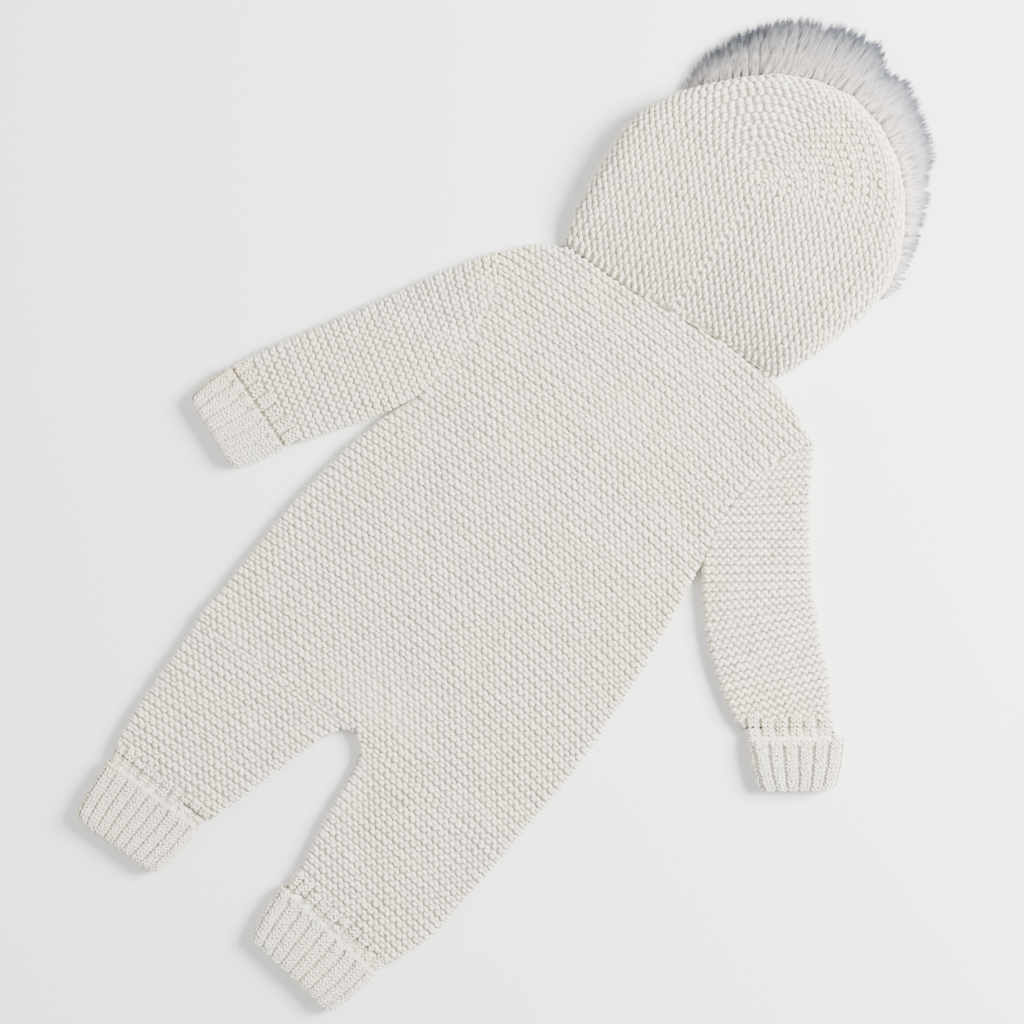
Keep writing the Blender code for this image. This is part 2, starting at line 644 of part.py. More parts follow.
def make_cuff(name, ribs, turned, fold, limb):
    """A ribbed cuff: its first rows go on from the limb, and its turned-back half stands over them."""
    ta, tb, fa, fb = (np.array(p, float) for p in (turned[:2], turned[2:], fold[:2], fold[2:]))
    down = fa + fb - ta - tb
    away = down / np.linalg.norm(down) * SLANTED_SEAM
    la, lb = (np.array(p, float) + away for p in limb)
    rings = [cuff_ring(la, lb, *CUFF_START, ribs, RIB_RISE)]
    for n, (share, middle_z, half_height, inset) in enumerate(CUFF_PROFILE):
        a, b = ta + (fa - ta) * share, tb + (fb - tb) * share
        rise = RIB_RISE if n < CUFF_PLAIN_FROM - 1 else 0.0
        rings.append(cuff_ring(a, b, middle_z, half_height, inset, ribs, rise))
    middle_z, half_height, inset = CUFF_START
    rings.append(cuff_ring(la, lb, middle_z, half_height - RIB_WALL, inset + RIB_WALL, ribs, 0.0))
    skin(name, [*rings, rings[0]], "rib_wool")


# ---------------------------------------------------------------- hood and fur


def hood_section(row):
    """Outer points of one section of the hood, from the back seam over the fold to the face edge."""
    seam_share, ex, ey, seam_z, brow_z, fold_z, low_z, depth, fx, fy, face_z = row
    start = np.array(NAPE) + (np.array(CROWN) - np.array(NAPE)) * seam_share
    edge, face = np.array([ex, ey]), np.array([fx, fy])
    reach = np.linalg.norm(edge - start)
    out = (edge - start) / reach
    points = []
    for share in TOP_SHARES:
        r = (reach - depth) * share
        z = seam_z + (brow_z - seam_z) * share * share * (3 - 2 * share)
        points.append([*(start + out * r), z])
    for angle in FOLD_ANGLES:
        turn = math.radians(angle)
        r = reach - depth + depth * math.cos(turn)
        high = brow_z - fold_z if turn > 0 else fold_z - low_z
        points.append([*(start + out * r), fold_z + high * math.sin(turn)])
    low = start + out * (reach - depth)
    for share in UNDER_SHARES:
        p = low + (face - low) * share
        points.append([*p, low_z + (face_z - low_z) * share * share * (3 - 2 * share)])
    return np.array(points)


def at_neck(points):
    """Lays one section's points on the neckline: the front's near the ground, and the back's above."""
    for p in points:
        line = np.array(BACK_NECK if p[2] >= FRONT_TOP else FRONT_NECK)
        p[1] = np.interp(p[0], line[:, 0], line[:, 1]) + 2 * SEAM


def hood_grid():
    """Outer points and outward normals of the hood: stations round the face by points per section."""
    table = np.array(HOOD_SECTIONS, float)
    rank = np.arange(len(table))
    at = np.linspace(0, len(table) - 1, HOOD_STATIONS)
    rows = []
    for t in at:
        k = min(int(t), len(table) - 2)
        a, b, c, d = (table[int(np.clip(k + j, 0, len(table) - 1))] for j in (-1, 0, 1, 2))
        value = spline(a, b, c, d, t - k)
        value[UP_THE_SEAM] = np.interp(t, rank, table[:, UP_THE_SEAM])
        value[[LOW_Z, FACE_Z]] = np.maximum(value[[LOW_Z, FACE_Z]], 0.0)
        rows.append(hood_section(value))
    grid = np.array(rows)
    for station in (0, -1):
        at_neck(grid[station])
    along = np.gradient(grid, axis=1)
    around = np.gradient(grid, axis=0)
    around[:, 0] = around[:, 1]
    normals = np.cross(around, along)
    length = np.linalg.norm(normals, axis=2, keepdims=True)
    normals = normals / np.maximum(length, NO_LENGTH)
    normals *= math.copysign(1, normals[HOOD_STATIONS // 2, 1, 2])
    normals[:, 0] = (0, 0, 1)
    for station in (0, -1):
        normals[station, :, 1] = 0
        normals[station] /= np.linalg.norm(normals[station], axis=1, keepdims=True)
    return grid, normals


def make_hood(grid, normals):
    """The hood: one knitted piece, joined to itself up the back, open round the face."""
    inner = grid - KNIT * normals
    for station in (0, -1):
        at_neck(inner[station])
    half = HOOD_STATIONS // 2
    for k in range(half):
        mate = HOOD_STATIONS - 1 - k
        inner[k, 0] = inner[mate, 0] = (inner[k, 0] + inner[mate, 0]) / 2
    rows = [[(place(*o), place(*i)) for o, i in zip(a, b)] for a, b in zip(grid, inner)]
    wall("hood", [rows], "garter_wool")


def make_fur(grid, normals):
    """The fur trim: one soft roll under the hood's face edge that stands out past the crown."""
    table = np.array(FUR_SECTIONS, float)
    clear = grid + normals * FUR_CLEAR
    rings = []
    for station in range(int(table[0, 0]), int(table[-1, 0]) + 1):
        start, reach, height = (np.interp(station, table[:, 0], table[:, k]) for k in (1, 2, 3))
        section = clear[station]
        edge, face = section[round(start)], section[-1]
        out = edge[:2] - face[:2]
        out /= np.linalg.norm(out)
        ring = [np.array([*(edge[:2] + out * reach * r), height * h]) for r, h in FUR_OUTSIDE]
        ring += [section[max(k, round(start))] for k in range(FUR_FIRST, len(section))]
        inside = face[:2] - out * FUR_INTO_OPENING
        ring.append(np.array([*inside, face[2] * FUR_LINING]))
        ring.append(np.array([*inside, 0.0]))
        ring.append(np.array([*((inside + edge[:2]) / 2), 0.0]))
        rings.append([place(*p) for p in ring])
    skin("fur_trim", rings, "fur")


# ---------------------------------------------------------------- the romper


def clear_scene():
    """Removes whatever the scene holds."""
    for old in list(bpy.data.objects):
        bpy.data.objects.remove(old)


def main():
    """Builds every piece of the romper."""
    clear_scene()
    rows = torso_rows(BACK_NECK)
    edge = outlines(rows)
    make_back(rows, edge)
    make_fronts(edge)
    make_bands()
    make_buttons()
    limbs = {
        "cuff_sleeve_left": make_sleeve("left", rows),
        "cuff_sleeve_right": make_sleeve("right", rows),
        "cuff_leg_left": ((LEGS[-1][1], LEGS[-1][0]), (LEGS[-1][2], LEGS[-1][0])),
        "cuff_leg_right": ((LEGS[-1][3], LEGS[-1][0]), (LEGS[-1][4], LEGS[-1][0])),
    }
    for name, ribs, turned, fold in CUFFS:
        make_cuff(name, ribs, turned, fold, limbs[name])
    grid, normals = hood_grid()
    make_hood(grid, normals)
    make_fur(grid, normals)


main()
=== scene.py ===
"""Looks of a baby's hooded romper in chunky garter stitch, laid face down.

Every stitch is a loop of yarn, laid on the solids of the frame; below the loops lies a thin shell of cloth, mostly
in a darker wool whose colour is painted shade for the gaps between the loops.
Sizes are in millimetres in the frame's own axes: X across the garment, Y from the feet to the hood, Z up.
"""

from __future__ import annotations

import logging
import math
from collections.abc import Callable, Iterable, Sequence
from dataclasses import dataclass, field
from enum import Enum

import bmesh
import bpy
import numpy as np
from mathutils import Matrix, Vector
from mathutils.bvhtree import BVHTree
from mathutils.kdtree import KDTree

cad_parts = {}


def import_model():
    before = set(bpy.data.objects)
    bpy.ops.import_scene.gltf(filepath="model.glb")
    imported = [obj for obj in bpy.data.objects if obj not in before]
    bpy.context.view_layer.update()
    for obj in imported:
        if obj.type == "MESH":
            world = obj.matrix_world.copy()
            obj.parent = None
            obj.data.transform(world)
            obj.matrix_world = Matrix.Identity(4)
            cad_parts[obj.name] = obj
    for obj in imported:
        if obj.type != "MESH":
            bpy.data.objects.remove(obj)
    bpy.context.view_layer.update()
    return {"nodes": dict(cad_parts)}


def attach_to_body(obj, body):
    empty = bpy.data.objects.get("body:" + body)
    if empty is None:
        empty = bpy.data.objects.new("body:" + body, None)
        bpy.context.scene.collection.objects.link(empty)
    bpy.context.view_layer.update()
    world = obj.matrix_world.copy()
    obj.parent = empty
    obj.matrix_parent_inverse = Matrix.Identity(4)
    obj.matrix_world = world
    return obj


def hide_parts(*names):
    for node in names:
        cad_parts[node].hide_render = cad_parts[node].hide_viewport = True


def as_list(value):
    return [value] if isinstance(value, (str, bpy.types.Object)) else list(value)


log = logging.getLogger("romper")

MM = 0.001
MIDDLE = np.array([39.94, 32.81])  # the frame's origin, seen from the point of the spine that places are given from
FLOOR = 0.02  # the lowest that anything lies
PIECE_LIMIT = 195_000  # triangles in one piece
SURFACE_UV = "yarn"
SHADE = "shade"

Array = np.ndarray


def place(x: float, y: float) -> Array:
    """A point of the garment, given from its spine, in the frame's axes."""
    return np.array([x, y], float) - MIDDLE


def unit(vectors: Array) -> Array:
    """The vectors at length one."""
    return vectors / np.maximum(np.linalg.norm(vectors, axis=-1, keepdims=True), 1e-9)


class Side(Enum):
    """The side that a surface is seen from."""

    ABOVE = 1
    BELOW = -1


class Bend(Enum):
    """Which way a loop of yarn sags along its column."""

    FROWN = -1
    SMILE = 1


# ---------------------------------------------------------------- finishes


class Nodes:
    """Short calls for a material's nodes."""

    def __init__(self, name: str) -> None:
        self.material = bpy.data.materials.new(name)
        self.material.use_nodes = True
        self.tree = self.material.node_tree
        self.shader = self.tree.nodes["Principled BSDF"]

    def add(self, kind: str, **settings: object) -> bpy.types.Node:
        """Adds a node.

        Args:
            kind: the node's type, without its prefix.
            settings: its properties, and the values of its inputs by their names with _ for a space.

        Returns:
            The node.
        """
        node = self.tree.nodes.new("ShaderNode" + kind)
        for key, value in settings.items():
            if hasattr(node, key):
                setattr(node, key, value)
            else:
                node.inputs[key.replace("_", " ")].default_value = value
        return node

    def link(self, source: bpy.types.NodeSocket, target: bpy.types.NodeSocket) -> None:
        """Joins two sockets."""
        self.tree.links.new(source, target)

    def ramp(self, source: bpy.types.NodeSocket, *stops: tuple[float, tuple[float, float, float]]) -> bpy.types.NodeSocket:
        """Colours a value.

        Args:
            source: the socket with the value.
            stops: (place, colour) pairs, from low to high.

        Returns:
            The colour's socket.
        """
        node = self.add("ValToRGB")
        self.link(source, node.inputs["Fac"])
        elements = node.color_ramp.elements
        while len(elements) < len(stops):
            elements.new(0.5)
        for element, (where, colour) in zip(elements, stops):
            element.position = where
            element.color = (*colour, 1)
        return node.outputs["Color"]

    def mix(self, a: bpy.types.NodeSocket, b: bpy.types.NodeSocket, how: str, share: float) -> bpy.types.NodeSocket:
        """Mixes two colours with a fixed share of the second."""
        node = self.add("Mix", data_type="RGBA", blend_type=how)
        node.inputs["Factor"].default_value = share
        self.link(a, node.inputs["A"])
        self.link(b, node.inputs["B"])
        return node.outputs["Result"]


@dataclass(frozen=True)
class WoolFinish:
    """Matte wool yarn: soft patches of tone, a shade for each loop, plied strands and loose fibres."""

    name: str
    tint: tuple[float, float, float]
    warm: tuple[float, float, float]
    grey: tuple[float, float, float]
    patch_scale: float = 14.0
    ply_scale: float = 3.0
    ply_bump: float = 0.35
    fibre_scale: float = 1500.0
    fibre_bump: float = 0.25
    plied: bool = True

    def material(self) -> bpy.types.Material:
        """Makes the material."""
        made = Nodes(self.name)
        coordinates = made.add("TexCoord")
        patches = made.add("TexNoise", Scale=self.patch_scale, Detail=3.0, Roughness=0.6)
        made.link(coordinates.outputs["Object"], patches.inputs["Vector"])
        colour = made.ramp(patches.outputs["Fac"], (0.34, self.grey), (0.5, self.tint), (0.68, self.warm))
        shade = made.add("Attribute", attribute_name=SHADE)
        tone = made.ramp(shade.outputs["Fac"], (0.0, (0.86, 0.855, 0.85)), (1.0, (1.0, 1.0, 1.0)))
        colour = made.mix(colour, tone, "MULTIPLY", 1.0)
        made.link(colour, made.shader.inputs["Base Color"])
        fibres = made.add("TexNoise", Scale=self.fibre_scale, Detail=2.0, Roughness=0.7)
        made.link(coordinates.outputs["Object"], fibres.inputs["Vector"])
        fluff = made.add("Bump", Strength=self.fibre_bump, Distance=0.0004)
        made.link(fibres.outputs["Fac"], fluff.inputs["Height"])
        if self.plied:
            strands = made.add("TexWave", wave_type="BANDS", bands_direction="DIAGONAL", Scale=self.ply_scale)
            strands.inputs["Distortion"].default_value = 1.2
            uv = made.add("UVMap", uv_map=SURFACE_UV)
            made.link(uv.outputs["UV"], strands.inputs["Vector"])
            plies = made.add("Bump", Strength=self.ply_bump, Distance=0.0005)
            made.link(strands.outputs["Fac"], plies.inputs["Height"])
            made.link(plies.outputs["Normal"], fluff.inputs["Normal"])
        made.link(fluff.outputs["Normal"], made.shader.inputs["Normal"])
        made.shader.inputs["Roughness"].default_value = 0.92
        made.shader.inputs["Specular IOR Level"].default_value = 0.2
        made.shader.inputs["Sheen Weight"].default_value = 0.25
        made.shader.inputs["Sheen Roughness"].default_value = 0.6
        return made.material


@dataclass(frozen=True)
class FurFinish:
    """Long faux fur, whose colour follows its place across the trim, from the hood's edge to the fringe."""

    name: str
    stops: tuple[tuple[float, tuple[float, float, float]], ...]
    dull: tuple[float, float, float] = (0.76, 0.75, 0.74)  # what the dullest hairs are multiplied by, and the core, which has no yarn map, as painted shade deep in the pile

    def material(self) -> bpy.types.Material:
        """Makes the material."""
        made = Nodes(self.name)
        across = made.add("Attribute", attribute_name=SHADE)
        colour = made.ramp(across.outputs["Fac"], *self.stops)
        uv = made.add("UVMap", uv_map=SURFACE_UV)
        split = made.add("SeparateXYZ")
        made.link(uv.outputs["UV"], split.inputs["Vector"])
        tone = made.ramp(split.outputs["X"], (0.0, self.dull), (1.0, (1.0, 1.0, 1.0)))
        colour = made.mix(colour, tone, "MULTIPLY", 1.0)
        made.link(colour, made.shader.inputs["Base Color"])
        made.shader.inputs["Roughness"].default_value = 0.75
        made.shader.inputs["Specular IOR Level"].default_value = 0.12
        return made.material


@dataclass(frozen=True)
class ButtonFinish:
    """A pale brown moulded button with faint streaks."""

    name: str
    pale: tuple[float, float, float]
    dark: tuple[float, float, float]

    def material(self) -> bpy.types.Material:
        """Makes the material."""
        made = Nodes(self.name)
        coordinates = made.add("TexCoord")
        streaks = made.add("TexNoise", Scale=260.0, Detail=4.0, Distortion=1.5)
        made.link(coordinates.outputs["Object"], streaks.inputs["Vector"])
        colour = made.ramp(streaks.outputs["Fac"], (0.3, self.dark), (0.65, self.pale))
        made.link(colour, made.shader.inputs["Base Color"])
        grain = made.add("Bump", Strength=0.08, Distance=0.0002)
        made.link(streaks.outputs["Fac"], grain.inputs["Height"])
        made.link(grain.outputs["Normal"], made.shader.inputs["Normal"])
        made.shader.inputs["Roughness"].default_value = 0.38
        return made.material


@dataclass(frozen=True)
class FloorFinish:
    """A plain pale floor."""

    name: str = "floor"
    colour: tuple[float, float, float] = (0.93, 0.93, 0.93)

    def material(self) -> bpy.types.Material:
        """Makes the material."""
        made = Nodes(self.name)
        made.shader.inputs["Base Color"].default_value = (*self.colour, 1)
        made.shader.inputs["Roughness"].default_value = 0.9
        made.shader.inputs["Specular IOR Level"].default_value = 0.1
        return made.material


# ---------------------------------------------------------------- the solids as ground for the knitting


@dataclass(frozen=True)
class Crease:
    """A soft trough (or, with a negative depth, a ridge) of the cloth along a line on the garment."""

    start: tuple[float, float]
    end: tuple[float, float]
    width: float
    depth: float

    def depth_at(self, points: Array) -> Array:
        """How deep the trough is at these places (rows of x, y)."""
        a, b = place(*self.start), place(*self.end)
        run = b - a
        share = ((points - a) @ run) / (run @ run)
        foot = a + np.clip(share, 0, 1)[:, None] * run
        gap = np.linalg.norm(points - foot, axis=1) / self.width
        fade = np.clip(np.minimum(share + 0.35, 1.35 - share) / 0.35, 0, 1)
        return self.depth * np.exp(-gap * gap) * fade


class Form:
    """Solids of the frame, as ground to lay knitting on."""

    def __init__(self, names: Sequence[str], nodes: dict[str, bpy.types.Object]) -> None:
        points: list[list[float]] = []
        faces: list[list[int]] = []
        for name in names:
            mesh = nodes[name].data
            mesh.calc_loop_triangles()
            first = len(points)
            points += [list(vertex.co / MM) for vertex in mesh.vertices]
            faces += [[first + k for k in triangle.vertices] for triangle in mesh.loop_triangles]
        self.points = np.array(points)
        self.faces = np.array(faces)
        self.tree = BVHTree.FromPolygons(points, faces, all_triangles=True)

    def drop(self, at: Array, side: Side) -> tuple[Array, Array] | None:
        """Finds the surface above or below a place.

        Args:
            at: x and y.
            side: the side that the surface is seen from.

        Returns:
            The point and its normal, or None where there is no surface.
        """
        start = Vector((at[0], at[1], 200.0 * side.value))
        point, normal, _, _ = self.tree.ray_cast(start, Vector((0, 0, -side.value)))
        return None if point is None else (np.array(point), np.array(normal))

    def snap(self, at: Array) -> tuple[Array, Array]:
        """The nearest point of the surface and its normal."""
        point, normal, _, _ = self.tree.find_nearest(Vector(at))
        return np.array(point), np.array(normal)


class Course:
    """A line across a surface, with its length measured along the cloth."""

    def __init__(self, points: Array, normals: Array, start: float) -> None:
        for _ in range(2):
            padded = np.vstack([normals[:1], normals, normals[-1:]])
            normals = unit(padded[:-2] + 2 * padded[1:-1] + padded[2:])
        self.points, self.normals = points, normals
        steps = np.linalg.norm(np.diff(points, axis=0), axis=1)
        self.run = start + np.concatenate([[0.0], np.cumsum(steps)])

    def at(self, run: Array) -> tuple[Array, Array, Array]:
        """Points, directions along the line and normals at these lengths."""

        def read(values: Array, lengths: Array) -> Array:
            return np.stack([np.interp(lengths, self.run, values[:, k]) for k in range(3)], 1)

        normal = unit(read(self.normals, run))
        along = read(self.points, run + 1.0) - read(self.points, run - 1.0)
        along = unit(along - (along * normal).sum(1, keepdims=True) * normal)
        return read(self.points, run), along, normal

    def cut_ends(self) -> tuple[bool, bool]:
        """Whether the cloth stops at each end at a seam, and doesn't roll over an edge."""
        return abs(self.normals[0, 2]) > 0.6, abs(self.normals[-1, 2]) > 0.6


@dataclass(frozen=True)
class Tracer:
    """Draws courses on a form along lines that are given in plan."""

    form: Form
    side: Side
    step: float = 2.0
    roll: float = 6.2
    pit: float = 1.5  # a place that lies this much lower than both its neighbours is a seam's slit, and is left out

    def hit(self, plan: Callable[[float], Array], t: float) -> tuple[Array, Array] | None:
        """The surface at this place of the plan's line."""
        return self.form.drop(plan(t), self.side)

    def edge(self, plan: Callable[[float], Array], inside: float, outside: float) -> float:
        """Where the surface ends between two places of the plan's line."""
        for _ in range(9):
            middle = (inside + outside) / 2
            if self.hit(plan, middle) is None:
                outside = middle
            else:
                inside = middle
        return inside

    def courses(self, plan: Callable[[float], Array], low: float, high: float) -> list[Course]:
        """Traces every stretch of surface under a line.

        Args:
            plan: gives x and y at a place of the line.
            low: the line's first place.
            high: the line's last place.

        Returns:
            One course for each stretch, whose lengths are measured from the line's place 0.
        """
        places = np.arange(low, high, self.step)
        met = [self.hit(plan, t) is not None for t in places]
        made = []
        k = 0
        while k < len(places):
            if not met[k]:
                k += 1
                continue
            last = k
            while last + 1 < len(places) and met[last + 1]:
                last += 1
            first = self.edge(plan, places[k], places[k] - self.step) if k else places[k]
            final = self.edge(plan, places[last], places[last] + self.step)
            made.append(self.stretch(plan, first, final))
            k = last + 1
        return [course for course in made if course is not None]

    def stretch(self, plan: Callable[[float], Array], first: float, final: float) -> Course | None:
        """One course from edge to edge, with close points where the cloth may roll over."""
        if final - first < 1.2 * self.roll:
            return None
        curl = self.roll * (1 - np.cos(np.radians((6, 18, 32, 46, 60, 75))))
        flat = np.arange(first + self.roll, final - self.roll, self.step)
        found = []
        for t in np.concatenate([first + curl, flat, final - curl[::-1]]):
            hit = self.hit(plan, float(t))
            if hit is not None:
                found.append((float(t), *hit))
        height = np.array([point[2] for _, point, _ in found])
        beside = np.minimum(np.roll(height, 1), np.roll(height, -1))
        found = [hit for hit, here, there in zip(found, height, beside) if here > there - self.pit]
        if len(found) < 4:
            return None
        points = np.array([point for _, point, _ in found])
        normals = np.array([normal for _, _, normal in found])
        course = Course(points, normals, 0.0)
        anchor = int(np.argmin([abs(t) for t, _, _ in found]))
        course.run += found[anchor][0] - course.run[anchor]
        return course


# ---------------------------------------------------------------- yarn


@dataclass(frozen=True)
class LoopShape:
    """The visible half of one loop of yarn."""

    length: float  # half its length
    width: float  # half its width
    height: float  # half its height
    sag: float  # how far its ends hang along the column
    dive: float  # how far its ends go down into the cloth
    around: int = 5
    rings: int = 5


@dataclass
class Loops:
    """Loops to be laid, one row of each array for each loop."""

    centre: list[Array] = field(default_factory=list)
    along: list[Array] = field(default_factory=list)
    normal: list[Array] = field(default_factory=list)
    bend: list[Array] = field(default_factory=list)

    def add(self, centre: Array, along: Array, normal: Array, bend: float) -> None:
        """Adds loops that sag the same way."""
        self.centre.append(centre)
        self.along.append(along)
        self.normal.append(normal)
        self.bend.append(np.full(len(centre), bend))

    def __len__(self) -> int:
        return sum(len(part) for part in self.centre)


class Knitter:
    """Turns loops into meshes, the same way each run."""

    def __init__(self, seed: int) -> None:
        self.random = np.random.default_rng(seed)

    @staticmethod
    def template(shape: LoopShape) -> tuple[Array, Array]:
        """A bead along X, one unit in each half: its points, and its triangles' points."""
        bm = bmesh.new()
        bmesh.ops.create_uvsphere(bm, u_segments=shape.around, v_segments=shape.rings, radius=1.0)
        bmesh.ops.triangulate(bm, faces=bm.faces[:])
        bm.verts.index_update()
        points = np.array([(v.co.z, v.co.x, v.co.y) for v in bm.verts])
        faces = np.array([[v.index for v in face.verts] for face in bm.faces])
        bm.free()
        # most of the points move to the side that shows
        turn = np.arctan2(points[:, 2], points[:, 1]) % math.tau
        radius = np.hypot(points[:, 1], points[:, 2])
        turn = turn * (200 / (360 - 360 / shape.around)) - math.radians(10)
        points[:, 1], points[:, 2] = radius * np.cos(turn), radius * np.sin(turn)
        return points, faces

    def lay(
        self, name: str, loops: Loops, shape: LoopShape, material: bpy.types.Material,
        skew: float = 6.0, jitter: float = 4.0,
    ) -> list[bpy.types.Object]:
        """Lays loops of yarn as joined meshes.

        Args:
            name: the pieces' name, which gets a number where there are several.
            loops: where the loops lie.
            shape: the loops' shape.
            material: the yarn's material.
            skew: how far each loop is turned in the cloth, in degrees.
            jitter: how unevenly, in degrees.

        Returns:
            The pieces.
        """
        bead, faces = self.template(shape)
        centre, along = np.vstack(loops.centre), np.vstack(loops.along)
        normal, bend = np.vstack(loops.normal), np.concatenate(loops.bend)
        across = unit(np.cross(normal, along))
        count = len(centre)
        turn = np.radians(skew + jitter * self.random.standard_normal(count))[:, None]
        a = along * np.cos(turn) + across * np.sin(turn)
        b = across * np.cos(turn) - along * np.sin(turn)
        size = 1 + 0.07 * self.random.standard_normal((count, 3))
        centre = centre + 0.18 * self.random.standard_normal((count, 3))
        x, y, z = bead[:, 0], bead[:, 1], bead[:, 2]
        on_a = (shape.length * size[:, 0])[:, None] * x
        on_b = (shape.width * size[:, 1])[:, None] * y + shape.sag * bend[:, None] * x * x
        on_n = (shape.height * size[:, 2])[:, None] * z - shape.dive * x * x
        points = centre[:, None] + on_a[..., None] * a[:, None] + on_b[..., None] * b[:, None]
        points = points + on_n[..., None] * normal[:, None]
        points[..., 2] = np.maximum(points[..., 2], FLOOR)
        shades = np.clip(0.62 + 0.22 * self.random.standard_normal(count), 0, 1)
        uv = np.stack([np.arctan2(z, y) / math.tau, x * shape.length / 6.0], 1)
        per_piece = PIECE_LIMIT // len(faces)
        parts = max(1, math.ceil(count / per_piece))
        made = []
        for k, part in enumerate(np.array_split(np.arange(count), parts)):
            title = name if parts == 1 else f"{name}_{k + 1}"
            made.append(joined(title, points[part], faces, uv, shades[part], material))
        return made


def joined(
    name: str, points: Array, faces: Array, uv: Array, shades: Array, material: bpy.types.Material
) -> bpy.types.Object:
    """Joins many copies of a small shape into one smooth piece.

    Args:
        name: the piece's name.
        points: each copy's points, in millimetres.
        faces: the shape's triangles.
        uv: the map of the shape's points, the same for all or one for each copy.
        shades: values from 0 to 1, one for each copy or one for each of its points.
        material: the piece's material.

    Returns:
        The piece.
    """
    count, size = points.shape[:2]
    uv = np.broadcast_to(uv, (count, size, 2))[:, faces.reshape(-1)]
    shades = np.broadcast_to(shades.reshape(count, -1), (count, size))
    corners = (faces[None] + (np.arange(count) * size)[:, None, None]).reshape(-1)
    mesh = bpy.data.meshes.new(name)
    mesh.vertices.add(count * size)
    mesh.vertices.foreach_set("co", (points.reshape(-1) * MM).astype(np.float32))
    mesh.loops.add(len(corners))
    mesh.loops.foreach_set("vertex_index", corners.astype(np.int32))
    mesh.polygons.add(len(corners) // 3)
    mesh.polygons.foreach_set("loop_start", np.arange(0, len(corners), 3, dtype=np.int32))
    layer = mesh.uv_layers.new(name=SURFACE_UV)
    layer.uv.foreach_set("vector", uv.astype(np.float32).reshape(-1))
    shade = mesh.attributes.new(SHADE, "FLOAT", "POINT")
    shade.data.foreach_set("value", shades.astype(np.float32).reshape(-1))
    mesh.update(calc_edges=True)
    mesh.shade_smooth()
    mesh.materials.append(material)
    made = bpy.data.objects.new(name, mesh)
    bpy.context.scene.collection.objects.link(made)
    return made


# ---------------------------------------------------------------- cloth


@dataclass(frozen=True)
class CuffPlan:
    """Where a turned-back cuff lies, and how big its cloth is."""

    node: str
    ribs: int
    turned: tuple[float, float, float, float]  # the line of the turned edge
    fold: tuple[float, float, float, float]  # the line of the fold
    flat: tuple[float, float, float]  # (width all round, length, cut area in m2)
    limb: str = ""  # the solid that it ends, where it shows
    limb_below: str = ""  # the same on the underside
    reach: float = 62.0  # how far from its middle the cuff can be
    neck_length: float = 16.0
    neck_waver: float = 2.4

    def corners(self) -> tuple[Array, Array, Array, Array]:
        """The ends of the turned edge, and then the ends of the fold."""
        return place(*self.turned[:2]), place(*self.turned[2:]), place(*self.fold[:2]), place(*self.fold[2:])

    def up(self) -> Array:
        """The direction from the turned edge up the limb."""
        a, b, c, _ = self.corners()
        square = unit(np.array([a[1] - b[1], b[0] - a[0]]))
        return square * -np.sign((c - a) @ square)

    def neck(self, share: Array | float) -> Array:
        """How far the ribs go on up the limb from under the turned edge, at this share of the edge."""
        rib = np.floor(np.clip(share, 0, 1) * (self.ribs // 2))
        return self.neck_length + self.neck_waver * np.sin(2.2 * rib + self.ribs)

    def covers(self, points: Array) -> Array:
        """Tells which points lie past the turned edge, or on the ribs that run into it."""
        a, b, c, d = self.corners()
        share = (points[:, :2] - a) @ (b - a) / ((b - a) @ (b - a))
        past = (points[:, :2] - a) @ self.up() < self.neck(share)
        near = np.linalg.norm(points[:, :2] - (a + b + c + d) / 4, axis=1) < self.reach
        return past & near

    def gathers(self, random: np.random.Generator) -> list[Crease]:
        """Short creases in the limb's cloth, one above each groove between the ribs."""
        start, end = np.array(self.turned[:2]), np.array(self.turned[2:])
        beside = self.up() * 1.4
        made = [Crease(tuple(start + beside), tuple(end + beside), 1.5, 1.5)]
        shown = self.ribs // 2
        for k in range(1, shown):
            foot = start + (end - start) * (k + 0.05 * random.standard_normal()) / shown
            length, depth = self.neck(k / shown) + random.uniform(-2, 7), random.uniform(1.2, 2.3)
            head = foot + self.up() * length + (end - start) * random.normal(0, 0.01)
            made.append(Crease(tuple(foot - self.up()), tuple(head), 1.9, depth))
        return made


